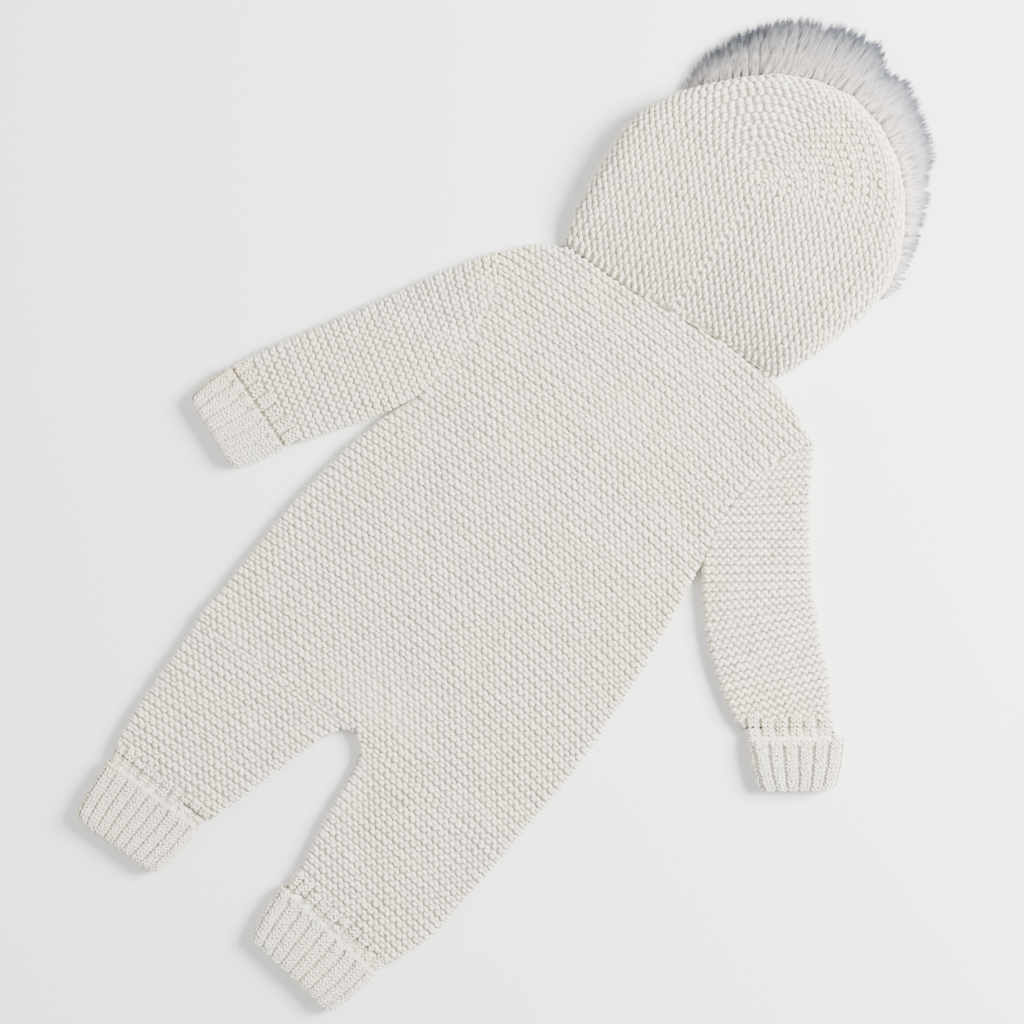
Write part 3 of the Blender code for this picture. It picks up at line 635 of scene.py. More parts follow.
@dataclass
class Cloth:
    """What the knitted pieces share: the frame's solids, the creases, the yarn and its finish."""

    nodes: dict[str, bpy.types.Object]
    knitter: Knitter
    creases: Sequence[Crease]
    cuffs: Sequence[CuffPlan]
    wool: bpy.types.Material
    rib: bpy.types.Material
    # darker wool for the shells under the loops and for the front bands: its colour is painted shade in the gaps
    # between the loops
    under: bpy.types.Material
    seam: float = 1.2  # the widest gap at a seam

    def sink(self, points: Array, normals: Array) -> Array:
        """Points moved down into the creases, where they lie on the garment's upper side."""
        depth = sum(crease.depth_at(points[:, :2]) for crease in self.creases)
        return points - normals * (depth * (normals[:, 2] > 0.1))[:, None]

    def under_cuff(self, points: Array) -> Array:
        """Tells which points belong to a cuff's ribs, or lie under it."""
        return np.any([cuff.covers(points) for cuff in self.cuffs], axis=0)

    def at_seam(self, node: str, points: Array, normals: Array) -> Array:
        """Tells which points face a neighbouring solid across a seam.

        Args:
            node: the points' own solid.
            points: the points.
            normals: their normals.

        Returns:
            One truth value for each point.
        """
        others = Form([name for name in self.nodes if name != node], self.nodes).tree
        found = np.zeros(len(points), bool)
        for k in np.flatnonzero(np.hypot(normals[:, 0], normals[:, 1]) > 0.25):
            level = Vector((normals[k, 0], normals[k, 1], 0)).normalized()
            found[k] = others.ray_cast(Vector(points[k]), level, self.seam)[0] is not None
        return found

    def shell(self, node: str, recess: float, material: bpy.types.Material | None = None) -> bpy.types.Object:
        """A shell of cloth under the loops, on the form of a solid.

        Args:
            node: the solid's name.
            recess: how far the shell lies inside the solid.
            material: its material, where that isn't the darker wool whose colour is painted shade for the gaps
                between the loops.

        Returns:
            The piece, which stands for the solid.
        """
        bm = bmesh.new()
        bm.from_mesh(self.nodes[node].data)
        bmesh.ops.remove_doubles(bm, verts=bm.verts, dist=0.02 * MM)
        bmesh.ops.subdivide_edges(bm, edges=bm.edges[:], cuts=1, use_grid_fill=True)
        bm.normal_update()
        normals = np.array([v.normal for v in bm.verts])
        points = np.array([v.co for v in bm.verts]) / MM
        level = self.at_seam(node, points, normals) | (np.abs(normals[:, 2]) > 0.8)
        inward = np.where(level[:, None], np.sign(normals) * (0, 0, 1), normals)
        points = self.sink(points - inward * recess, np.where(points[:, 2:] > 5, np.abs(inward), 0))
        points[:, 2] = np.maximum(points[:, 2], FLOOR)
        for vertex, point in zip(bm.verts, points):
            vertex.co = point * MM
        mesh = bpy.data.meshes.new(node + "_cloth")
        bm.to_mesh(mesh)
        bm.free()
        shade = mesh.attributes.new(SHADE, "FLOAT", "POINT")
        shade.data.foreach_set("value", np.full(len(mesh.vertices), 0.45, np.float32))
        mesh.shade_smooth()
        mesh.materials.append(material or self.under)
        made = bpy.data.objects.new(node + "_cloth", mesh)
        bpy.context.scene.collection.objects.link(made)
        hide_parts(node)
        return made


def attach(pieces: Iterable[bpy.types.Object]) -> None:
    """Fastens pieces to the garment's one body."""
    for piece in pieces:
        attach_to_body(piece, "root")
        log.info("%s: %d triangles", piece.name, len(piece.data.polygons))


@dataclass(frozen=True)
class Garter:
    """Garter stitch: ridges of loops that bend down and up by turns."""

    stitch: float = 6.2
    ridge: float = 7.0
    pairing: float = 0.46  # share of a ridge's pitch between its two rows of loops
    proud: float = 0.3
    seam_reach: float = 5.0
    seam_dip: float = 0.9
    seam_margin: float = 0.34  # from a seam to the middle of the last loop, as a share of a stitch
    top: LoopShape = LoopShape(3.4, 1.88, 1.6, 1.1, 1.5)
    low: LoopShape = LoopShape(3.4, 1.9, 1.5, 1.1, 1.4, around=4, rings=3)

    def rows(self, low: float, high: float) -> list[tuple[float, Bend]]:
        """Places of the rows of loops between two places, with each row's bend."""
        made = []
        for n in range(math.ceil(low / self.ridge), math.floor(high / self.ridge) + 1):
            made.append((n * self.ridge, Bend.FROWN))
            made.append((n * self.ridge - self.ridge * self.pairing, Bend.SMILE))
        return made

    def loops_on(self, course: Course, bend: Bend, side: Side, cloth: Cloth, into: Loops) -> None:
        """Lays one row of loops on a course.

        Args:
            course: the line that the row follows.
            bend: which way the loops sag.
            side: the side that the row is seen from.
            cloth: the creases to follow.
            into: the loops laid so far.
        """
        first, final = course.run[0], course.run[-1]
        cut_first, cut_final = course.cut_ends()
        phase = 0.0 if bend is Bend.FROWN else 0.5
        low = first + (self.seam_margin * self.stitch if cut_first else 0.0)
        high = final - (self.seam_margin * self.stitch if cut_final else 0.0)
        count = np.arange(math.ceil(low / self.stitch - phase), math.floor(high / self.stitch - phase) + 1)
        run = (count + phase) * self.stitch
        if not len(run):
            return
        # a loop of its own closes a wide gap at a seam
        ends = [low] if cut_first and run[0] - low > 0.45 * self.stitch else []
        ends += [high] if cut_final and high - run[-1] > 0.45 * self.stitch else []
        run = np.sort(np.append(run, ends))
        points, along, normal = course.at(run)
        near = np.full(len(run), np.inf)
        if cut_first:
            near = np.minimum(near, run - first)
        if cut_final:
            near = np.minimum(near, final - run)
        dip = self.seam_dip * np.clip(1 - near / self.seam_reach, 0, 1) ** 1.5
        rise = self.proud if side is Side.ABOVE else 0.0
        shape = self.top if side is Side.ABOVE else self.low
        points = points + normal * (rise - shape.height - dip)[:, None]
        seen = ~cloth.under_cuff(points)
        points, along, normal = points[seen], along[seen], normal[seen]
        into.add(cloth.sink(points, normal), along, normal, bend.value * side.value)


# ---------------------------------------------------------------- the body


@dataclass
class Body:
    """The back and the two fronts, torso and legs."""

    cloth: Cloth
    garter: Garter = Garter()
    spine: tuple[tuple[float, float], ...] = ((-218, 8), (-60, 12), (90, 12), (203, 2))  # (y, x)
    foot: float = -362.0
    top: float = 214.0
    arch: float = 7.0  # how far a row's ends hang below its middle
    half: float = 150.0
    recess: float = 2.4
    flats: tuple[tuple[str, float, float, float], ...] = (  # (node, width, length, cut area in m2)
        ("back", 0.34, 0.58, 0.150),
        ("front_left", 0.17, 0.56, 0.073),
        ("front_right", 0.17, 0.56, 0.075),
    )

    def plan(self, row: float) -> Callable[[float], Array]:
        """The line of a row, in plan, measured from the spine."""
        ys, xs = [y for y, _ in self.spine], [x for _, x in self.spine]
        centre = float(np.interp(row, ys, xs))

        def line(t: float) -> Array:
            return place(centre + t, row - self.arch * (t / self.half) ** 2)

        return line

    def knit(self, names: Sequence[str], side: Side) -> Loops:
        """The loops of one side of the body."""
        tracer = Tracer(Form(names, self.cloth.nodes), side)
        loops = Loops()
        for row, bend in self.garter.rows(self.foot, self.top + self.arch):
            for course in tracer.courses(self.plan(row), -190, 190):
                self.garter.loops_on(course, bend, side, self.cloth, loops)
        return loops

    def build(self) -> None:
        """Makes the shells and lays the loops."""
        knitter, garter = self.cloth.knitter, self.garter
        shells = {node: self.cloth.shell(node, self.recess) for node, _, _, _ in self.flats}
        above = self.knit(("back", "cuff_leg_left", "cuff_leg_right"), Side.ABOVE)
        upper = knitter.lay("back_stitches", above, garter.top, self.cloth.wool)
        lower = []
        for node, cuff in (("front_left", "cuff_leg_left"), ("front_right", "cuff_leg_right")):
            below = self.knit((node, cuff), Side.BELOW)
            lower += knitter.lay(node + "_stitches", below, garter.low, self.cloth.wool)
        attach([*shells.values(), *upper, *lower])


# ---------------------------------------------------------------- sleeves


@dataclass
class Sleeve:
    """A flattened sleeve, knitted round its own axis."""

    cloth: Cloth
    node: str
    axis: tuple[tuple[float, float], ...]  # from inside the armhole to the wrist
    flat: tuple[float, float, float]  # (width all round, length, cut area in m2)
    garter: Garter = Garter(stitch=6.0, ridge=6.7)
    recess: float = 2.4
    reach: float = 100.0

    def plan(self, row: float) -> Callable[[float], Array]:
        """The line of a row, square to the axis."""
        points = np.array([place(*p) for p in self.axis])
        steps = np.linalg.norm(np.diff(points, axis=0), axis=1)
        run = np.concatenate([[0.0], np.cumsum(steps)])

        def on_axis(length: float) -> Array:
            return np.array([np.interp(length, run, points[:, k]) for k in (0, 1)])

        centre = on_axis(row)
        along = unit(on_axis(row + 25) - on_axis(row - 25))
        square = np.array([along[1], -along[0]])
        return lambda t: centre + square * t

    def length(self) -> float:
        """The axis's length."""
        return float(np.linalg.norm(np.diff(np.array(self.axis), axis=0), axis=1).sum())

    def build(self) -> None:
        """Makes the shell and lays the loops all round."""
        shell = self.cloth.shell(self.node, self.recess)
        form = Form((self.node, "cuff_" + self.node), self.cloth.nodes)
        pieces = []
        for side, shape in ((Side.ABOVE, self.garter.top), (Side.BELOW, self.garter.low)):
            loops = Loops()
            for row, bend in self.garter.rows(0, self.length()):
                for course in Tracer(form, side).courses(self.plan(row), -self.reach, self.reach):
                    self.garter.loops_on(course, bend, side, self.cloth, loops)
            title = f"{self.node}_stitches_{side.name.lower()}"
            pieces += self.cloth.knitter.lay(title, loops, shape, self.cloth.wool)
        attach([shell, *pieces])


# ---------------------------------------------------------------- hood


@dataclass
class Hood:
    """The hood, whose ridges lie in nested bows round the crown."""

    cloth: Cloth
    garter: Garter = Garter(stitch=7.0, ridge=6.5, pairing=0.5)
    nape: tuple[float, float] = (2, 203.4)
    crown: tuple[float, float] = (-3, 324)
    below: float = 22.0  # how far the rows are looked for below the nape
    step: float = 4.0
    fan: int = 61
    reach: float = 175.0
    under: float = 46.0  # how far the rows go on under the fold
    recess: float = 2.4

    def rays(self) -> list[tuple[Array, Array, float, float]]:
        """Every section, from the left of the nape round the crown to the right.

        Returns:
            For each its start on the seam, its direction, its place along the seam, 0 at the crown, and its
            share of the way round the crown, from -0.5 to 0.5.
        """
        nape, crown = place(*self.nape), place(*self.crown)
        up = unit(crown - nape)
        length = float(np.linalg.norm(crown - nape))
        left = np.array([-up[1], up[0]])
        heights = np.arange(-self.below, length, self.step)
        made = [(nape + up * h, left, h - length, -0.5) for h in heights]
        for share in np.linspace(0, 1, self.fan):
            turn = share * math.pi
            made.append((crown, left * math.cos(turn) + up * math.sin(turn), 0.0, share - 0.5))
        made += [(nape + up * h, -left, length - h, 0.5) for h in heights[::-1]]
        return made

    def section(self, form: Form, start: Array, out: Array) -> Course | None:
        """One section from the seam over the fold and on under it."""

        def plan(t: float) -> Array:
            return start + out * t

        over = Tracer(form, Side.ABOVE).courses(plan, 0.5, self.reach)
        if not over:
            return None
        course = over[-1]
        edge = float((course.points[-1, :2] - start) @ out)
        points, normals = list(course.points), list(course.normals)
        for inward in (0.3, 1.2, 2.6, 4.5, 7, 10, *np.arange(14, self.under, 4)):
            hit = form.drop(plan(edge - inward), Side.BELOW)
            if hit is None or hit[0][2] > points[-1][2] + 3 and inward > 10:
                break
            points.append(hit[0])
            normals.append(hit[1])
        return Course(np.array(points), np.array(normals), float(course.run[0]))

    def bow(self, sections: Sequence[tuple[Course | None, float, float]], distance: float) -> list[Course]:
        """Draws the row that lies this far from the seam, measured on the cloth.

        Args:
            sections: the sections, each with its place along the seam and its share of the way round the crown.
            distance: how far the row is from the seam.

        Returns:
            The row's stretches. Their lengths count whole stitches round the crown, so that the columns of
            neighbouring rows meet along both sides of the seam.
        """
        girth = 2 * self.garter.stitch * round(math.pi * distance / (2 * self.garter.stitch))
        made, points, normals, runs = [], [], [], []
        for section, along, share in [*sections, (None, 0.0, 0.0)]:
            if section is not None and section.run[0] <= distance <= section.run[-1]:
                point, _, normal = section.at(np.array([distance]))
                points.append(point[0])
                normals.append(normal[0])
                runs.append(along + share * girth)
                continue
            if len(points) > 3:
                course = Course(np.array(points), np.array(normals), 0.0)
                course.run = np.array(runs)
                made.append(course)
            points, normals, runs = [], [], []
        return made

    def build(self) -> None:
        """Makes the shell and lays the loops."""
        form = Form(("hood",), self.cloth.nodes)
        sections = [(self.section(form, start, out), along, share) for start, out, along, share in self.rays()]
        farthest = max(section.run[-1] for section, _, _ in sections if section is not None)
        loops = Loops()
        for row, bend in self.garter.rows(0, farthest):
            for course in self.bow(sections, row + self.garter.ridge * 0.72):
                self.garter.loops_on(course, bend, Side.ABOVE, self.cloth, loops)
        shell = self.cloth.shell("hood", self.recess)
        pieces = self.cloth.knitter.lay("hood_stitches", loops, self.garter.top, self.cloth.wool)
        attach([shell, *pieces])


# ---------------------------------------------------------------- cuffs


@dataclass
class Cuff:
    """A ribbed cuff, turned back over the end of its limb."""

    cloth: Cloth
    plan: CuffPlan
    tree: BVHTree | None = None
    level: float = 4.6
    row: float = 3.2
    recess: float = 1.8
    columns: tuple[float, float] = (-0.17, 0.17)
    lean: float = 0.66  # how far a leg of a knit stitch leans
    apart: float = 0.95  # from the middle of a column to the middle of a leg
    valley: float = 0.45  # how far the purl bumps lie below the solid
    profile: tuple[tuple[float, float, float], ...] = (  # (share of the way, half height, inset)
        (0.0, 7.2, 0.8), (0.04, 7.9, 0.0), (0.5, 8.1, -0.6), (0.86, 7.8, 1.0), (0.96, 6.5, 3.6),
        (1.0, 4.2, 7.5),
    )
    leg: LoopShape = LoopShape(2.7, 1.22, 1.1, 0.0, 0.35, around=5, rings=3)
    purl: LoopShape = LoopShape(2.0, 1.5, 1.1, 0.3, 0.5, around=5, rings=3)
    neck_leg: LoopShape = LoopShape(2.9, 1.3, 1.4, 0.0, 0.7, around=5, rings=3)
    neck_row: float = 3.5
    neck_columns: tuple[float, float] = (-0.2, 0.2)
    neck_apart: float = 1.0

    def ring(self, share: float, half_height: float, inset: float, run: float) -> Array:
        """A point round the flattened ring, at this share of its girth."""
        ta, tb, fa, fb = self.plan.corners()
        a, b = ta + (fa - ta) * share, tb + (fb - tb) * share
        across = unit(b - a)
        flat = float(np.linalg.norm(b - a)) / 2 - inset - half_height
        girth = 2 * self.level + math.pi
        along = run % 1.0 * 2 * girth
        side = 1 if along < girth else -1
        along -= 0 if side == 1 else girth
        turn = max(0.0, along - 2 * self.level)
        x = side * (min(along, 2 * self.level) / self.level - 1) * flat
        plan = (a + b) / 2 + across * (x + half_height * side * math.sin(turn))
        return np.array([*plan, 8.1 + half_height * side * math.cos(turn)])

    def stations(self) -> list[tuple[float, float, float]]:
        """The rows of stitches down the cuff, as (share, half height, inset)."""
        table = np.array(self.profile)
        ta, tb, fa, fb = self.plan.corners()
        length = float(np.linalg.norm(fa - ta) + np.linalg.norm(fb - tb)) / 2
        steps = np.hypot(np.diff(table[:, 0]) * length, np.diff(table[:, 1]))
        run = np.concatenate([[0.0], np.cumsum(steps)])
        wanted = np.arange(self.row / 2, run[-1], self.row)
        return [tuple(np.interp(w, run, table[:, k]) for k in range(3)) for w in wanted]

    def middle(self) -> Array:
        """The middle of the turned edge's ring."""
        a, b, _, _ = self.plan.corners()
        return np.array([*((a + b) / 2), 8.1])

    def line(self, run: float) -> tuple[Array, Array, Array]:
        """The places, normals and direction of one column of stitches, from the turned edge to the fold."""
        tree = Form((self.plan.node,), self.cloth.nodes).tree if self.tree is None else self.tree
        self.tree = tree
        rows = self.stations()
        points = np.array([self.ring(*row, run) for row in rows])
        down = unit(np.gradient(points, axis=0))
        side = np.array([self.ring(*row, run + 0.003) - self.ring(*row, run - 0.003) for row in rows])
        normals = unit(np.cross(down, unit(side)))
        outward = points - np.array([*points[:, :2].mean(0), 8.1])
        outward[:, :2] = 0
        flip = np.where((normals * outward).sum(1) < 0, -1.0, 1.0)
        normals = normals * flip[:, None]
        for k, (point, normal) in enumerate(zip(points, normals)):
            hit = tree.ray_cast(Vector(point + normal * 4), Vector(-normal), 8.0)[0]
            if hit is not None:
                points[k] = hit
        return points, normals, down

    def neck(self, side: Side) -> Loops:
        """The knit stitches of the ribs that run on up the limb from under the turned edge."""
        a, b, _, _ = self.plan.corners()
        up, width, shown = self.plan.up(), float(np.linalg.norm(b - a)), self.plan.ribs // 2
        limb = self.plan.limb if side is Side.ABOVE or not self.plan.limb_below else self.plan.limb_below
        tracer = Tracer(Form((limb, self.plan.node), self.cloth.nodes), side)
        shares = np.array([(rib + 0.5 + column) / shown for rib in range(shown) for column in self.neck_columns])
        made = Loops()
        for height in np.arange(-1.5, self.plan.neck_length + self.plan.neck_waver + 1, self.neck_row):

            def across(t: float) -> Array:
                return (a + b) / 2 + up * height + unit(b - a) * t

            courses = tracer.courses(across, -width / 2 - 8, width / 2 + 8)
            for course in courses:
                runs = (shares - 0.5) * width
                inside = (runs > course.run[0]) & (runs < course.run[-1]) & (height < self.plan.neck(shares) + 1)
                if not inside.any():
                    continue
                points, along, normal = course.at(runs[inside])
                for lean in (-1, 1):
                    centre = points + along * lean * self.neck_apart - normal * (self.neck_leg.height - 0.45)
                    rising = np.cross(normal, along) * side.value * np.sign(np.cross(unit(b - a), up))
                    tilted = unit(rising + along * lean * self.lean)
                    made.add(self.cloth.sink(centre, normal), tilted, normal, 0.0)
        return made

    def build(self) -> None:
        """Makes the shell and lays the ribs' knit stitches, the purl bumps between them and the edge."""
        knit, purl = Loops(), Loops()
        node, ribs = self.plan.node, self.plan.ribs
        for rib in range(ribs):
            for column in self.columns:
                points, normals, down = self.line((rib + column) / ribs)
                aside = unit(np.cross(normals, down))
                for lean in (-1, 1):
                    centre = points + aside * lean * self.apart - normals * (self.leg.height - 0.4)
                    knit.add(centre, unit(down - aside * lean * self.lean), normals, 0.0)
            points, normals, down = self.line((rib + 0.5) / ribs)
            aside = unit(np.cross(normals, down))
            purl.add(points - normals * (self.purl.height + self.valley), aside, normals, 1.0)
        for k in range(3 * ribs):
            run = (k + 0.5) / (3 * ribs)
            ends = np.array([self.ring(*self.profile[0], run + off) for off in (-0.004, 0, 0.004)])
            centre = ends[1:2] + (ends[1:2] - self.middle()) * (0, 0, 0.02)
            along = unit(ends[2:] - ends[:1])
            outward = unit((centre - self.middle()) * (0, 0, 1) + 1e-3)
            purl.add(centre, along, outward, 0.0)
        shell = self.cloth.shell(node, self.recess, self.cloth.rib)
        lay = self.cloth.knitter.lay
        pieces = lay(node + "_knit", knit, self.leg, self.cloth.rib, skew=0.0, jitter=4.0)
        pieces += lay(node + "_purl", purl, self.purl, self.cloth.rib, skew=0.0, jitter=4.0)
        for side in Side:
            title = f"{node}_neck_{side.name.lower()}"
            pieces += lay(title, self.neck(side), self.neck_leg, self.cloth.rib, skew=0.0, jitter=5.0)
        attach([shell, *pieces])
        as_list(pieces)


# ---------------------------------------------------------------- front band and buttons


@dataclass
class FrontBand:
    """The ribbed buttonhole band, the button band inside it, and the buttons."""

    cloth: Cloth
    button_finish: ButtonFinish
    buttons: int = 6

    def build(self) -> None:
        """Dresses the bands and the buttons."""
        for node, flat in (("band_buttonhole", (0.026, 0.346)), ("band_button", (0.026, 0.346))):
            piece = self.cloth.nodes[node]
            # the bands wear the darker under wool, whose colour is painted shade
            piece.data.materials.clear()
            piece.data.materials.append(self.cloth.under)
        material = self.button_finish.material()
        for n in range(1, self.buttons + 1):
            piece = self.cloth.nodes[f"button_{n}"]
            piece.data.materials.clear()
            piece.data.materials.append(material)


# ---------------------------------------------------------------- fur


@dataclass
class FurTrim:
    """The fur trim: a soft core under locks of pile, which flow from the hood's edge over it to the fringe."""

    cloth: Cloth
    finish: FurFinish
    centre: tuple[float, float] = (0, 290)  # the middle of the hood, which the pile flows away from
    seed: int = 41
    strands: int = 14_000
    locks: int = 800
    gather: float = 0.5  # how far the hairs of a lock lean to its middle
    lock: float = 6.0  # how wide a lock is
    spike: float = 4.2  # how far a lock's middle hairs stand out of it
    length: tuple[float, float] = (19.0, 27.0)
    core_recess: float = 9.0
    core_share: float = 0.66  # how far out the core goes, as a share of the way from the hood's edge
    fringe: tuple[tuple[float, float], ...] = (  # (direction in degrees, reach of the tips)
        (21.5, 140), (36.6, 150), (47.4, 154), (57.2, 171), (68, 176), (78.5, 183), (83.3, 175), (91.3, 194),
        (101, 186), (109, 181), (114, 172), (120, 170), (129, 160), (135.5, 148), (141, 136), (149, 119),
    )
    loose: float = 11.0  # how far the tips may be from the solid's rim
    under_edge: float = 7.0  # how far inside the hood's edge the hairs may start
    root_depth: float = 5.5
    droop: float = 18.0  # how much higher than its tip a hair may start
    thick: float = 0.34
    levels: tuple[float, ...] = (3.0, 8.0, 13.0, 18.0, 23.0, 28.0, 33.0)  # heights that are met from the side

    @staticmethod
    def template() -> tuple[Array, Array]:
        """A hair along Z, one unit long: its points, and its triangles' points."""
        bm = bmesh.new()
        bmesh.ops.create_cone(bm, cap_ends=True, segments=3, radius1=1, radius2=0, depth=1)
        bmesh.ops.translate(bm, verts=bm.verts, vec=(0, 0, 0.5))
        geometry = bm.verts[:] + bm.edges[:] + bm.faces[:]
        bmesh.ops.bisect_plane(bm, geom=geometry, plane_co=(0, 0, 0.48), plane_no=(0, 0, 1))
        bmesh.ops.triangulate(bm, faces=bm.faces[:])
        bm.verts.index_update()
        points = np.array([v.co for v in bm.verts])
        faces = np.array([[v.index for v in face.verts] for face in bm.faces])
        bm.free()
        return points, faces

    def tips(self, form: Form, count: int, random: np.random.Generator) -> Array:
        """Random points on the trim's upper and outer side."""
        corners = form.points[form.faces]
        cross = np.cross(corners[:, 1] - corners[:, 0], corners[:, 2] - corners[:, 0])
        area = np.linalg.norm(cross, axis=1) / 2
        weight = area * (unit(cross)[:, 2] > -0.6)
        chosen = random.choice(len(area), count, p=weight / weight.sum())
        u, v = random.random((2, count))
        flip = u + v > 1
        u, v = np.where(flip, 1 - u, u), np.where(flip, 1 - v, v)
        picked = corners[chosen]
        points = picked[:, 0] + u[:, None] * (picked[:, 1] - picked[:, 0])
        return points + v[:, None] * (picked[:, 2] - picked[:, 0])

    def spikes(self, tips: Array, out: Array) -> tuple[Array, Array]:
        """The tips, drawn together into locks whose middle hairs are the longest, and each one's lock."""
        tree = KDTree(self.locks)
        for k in range(self.locks):
            tree.insert(Vector(tips[k]), k)
        tree.balance()
        found = [tree.find(Vector(tip)) for tip in tips]
        middles = np.array([middle for middle, _, _ in found])
        off = np.linalg.norm(tips - middles, axis=1) / self.lock
        stand = self.spike * (np.clip(1 - off, 0, 1) - 0.4)
        drawn = tips + (middles - tips) * self.gather + out * stand[:, None]
        return drawn, np.array([lock for _, lock, _ in found])

    def radius(self, form: Form, out: Array) -> Array:
        """How far a solid reaches from the hood's middle in these directions, at whichever height is widest."""
        found = np.zeros(len(out))
        for level in self.levels:
            far = np.array([*place(*self.centre), level]) + out * 400
            hits = [form.tree.ray_cast(Vector(start), Vector(-way))[3] for start, way in zip(far, out)]
            found = np.maximum(found, [0 if hit is None else 400 - hit for hit in hits])
        return found

    def fringe_at(self, out: Array, rim: Array) -> Array:
        """How far the pile's tips reach in these directions, near the solid's rim."""
        angle = np.degrees(np.arctan2(out[:, 1], out[:, 0]))
        table = np.array(self.fringe)
        wanted = np.interp(angle, table[:, 0], table[:, 1])
        known = (angle > table[0, 0]) & (angle < table[-1, 0])
        return np.where(known, np.clip(wanted, rim - self.loose, rim + self.loose), rim)

    def draw_in(self, core: bpy.types.Object, hood: Form, form: Form) -> None:
        """Draws the core in from the trim's rim, so that the pile covers it."""
        middle = np.array([*place(*self.centre), 0.0])
        points = np.array([vertex.co for vertex in core.data.vertices]) / MM
        flat = (points - middle) * (1, 1, 0)
        out, reach = unit(flat), np.linalg.norm(flat, axis=1)
        edge, rim = self.radius(hood, out), self.radius(form, out)
        share = self.core_share * (self.fringe_at(out, rim) - edge) / np.maximum(rim - edge, 1)
        over = np.where(rim > edge + 4, np.maximum(reach - edge, 0) * (1 - share), 0)
        for vertex, point in zip(core.data.vertices, points - out * over[:, None]):
            vertex.co = point * MM

    def top(self, form: Form, points: Array) -> Array:
        """How high the trim's solid is at these places, or at its nearest point beside them."""
        hits = [form.drop(point[:2], Side.ABOVE) or form.snap((point[0], point[1], 14.0)) for point in points]
        return np.array([point[2] for point, _ in hits])

    def build(self) -> None:
        """Makes the core and the pile."""
        material = self.finish.material()
        form, hood = Form(("fur_trim",), self.cloth.nodes), Form(("hood",), self.cloth.nodes)
        random = np.random.default_rng(self.seed)
        middle = np.array([*place(*self.centre), 0.0])
        tips = self.tips(form, 3 * self.strands, random)
        out = unit((tips - middle) * (1, 1, 0))
        rim, edge = self.radius(form, out), self.radius(hood, out)
        reach = np.linalg.norm((tips - middle)[:, :2], axis=1)
        shown = np.flatnonzero((reach > edge + 1) & (rim > edge + 4))[: self.strands]
        tips, out, rim, edge = tips[shown], out[shown], rim[shown], edge[shown]
        count = len(tips)
        fringe = self.fringe_at(out, rim)
        tips = tips + out * ((reach[shown] - edge) * (fringe - rim) / (rim - edge))[:, None]
        rim = fringe
        tips, lock = self.spikes(tips, out)
        tips[:, 2] += random.uniform(-0.5, 1.2, count)
        reach = np.linalg.norm((tips - middle)[:, :2], axis=1)
        length = np.minimum(random.uniform(*self.length, count), 0.8 * (rim - edge) + self.under_edge)
        start = np.minimum(np.maximum(reach - length, edge - self.under_edge), reach - 5)
        sway = unit(out + np.cross(out, (0, 0, 1)) * random.normal(0, 0.11, count)[:, None])
        roots = tips - sway * (reach - start)[:, None]
        halfway = tips - sway * ((reach - start) / 2)[:, None]
        roots[:, 2] = np.minimum(self.top(form, roots) - self.root_depth, tips[:, 2] + self.droop)
        halfway[:, 2] = np.minimum(self.top(form, halfway) + 1.2, tips[:, 2] + 0.8 * self.droop)
        side = unit(np.cross(tips - roots, (0, 0, 1)) + 1e-6)
        lift = unit(np.cross(side, tips - roots))
        bead, faces = self.template()
        t = bead[None, :, 2, None]
        spine = roots[:, None] * (1 - t) ** 2 + 2 * halfway[:, None] * t * (1 - t) + tips[:, None] * t * t
        thick = self.thick * np.sqrt(np.maximum(1 - bead[:, 2], 0)) / np.maximum(1 - bead[:, 2], 0.05)
        wide, high = bead[:, 0] * thick, bead[:, 1] * thick
        points = spine + side[:, None] * wide[None, :, None] + lift[:, None] * high[None, :, None]
        points[..., 2] = np.maximum(points[..., 2], FLOOR)
        across = np.linalg.norm((spine - middle)[..., :2], axis=2) - edge[:, None]
        angle = np.arctan2(out[:, 1], out[:, 0])
        patch = 0.05 * np.sin(5 * angle + 0.8) + 0.035 * np.sin(11 * angle + 2.1)
        shift = patch + random.normal(0, 0.04, self.locks)[lock] + random.normal(0, 0.03, count)
        shades = across / np.maximum(rim - edge, 12)[:, None] + shift[:, None] * t[..., 0]
        uv = np.broadcast_to(bead[None, :, 1:], (count, len(bead), 2)).copy()
        uv[..., 0] = random.random(count)[:, None]
        parts = math.ceil(count * len(faces) / PIECE_LIMIT)
        pile = [
            joined(f"fur_pile_{k + 1}", points[part], faces, uv[part], np.clip(shades[part], 0, 1), material)
            for k, part in enumerate(np.array_split(np.arange(count), parts))
        ]
        # the core has no yarn map, so it takes the dull tone: painted shade deep under the pile
        core = self.cloth.shell("fur_trim", self.core_recess, material)
        self.draw_in(core, hood, form)
        attach([core, *pile])


# ---------------------------------------------------------------- studio


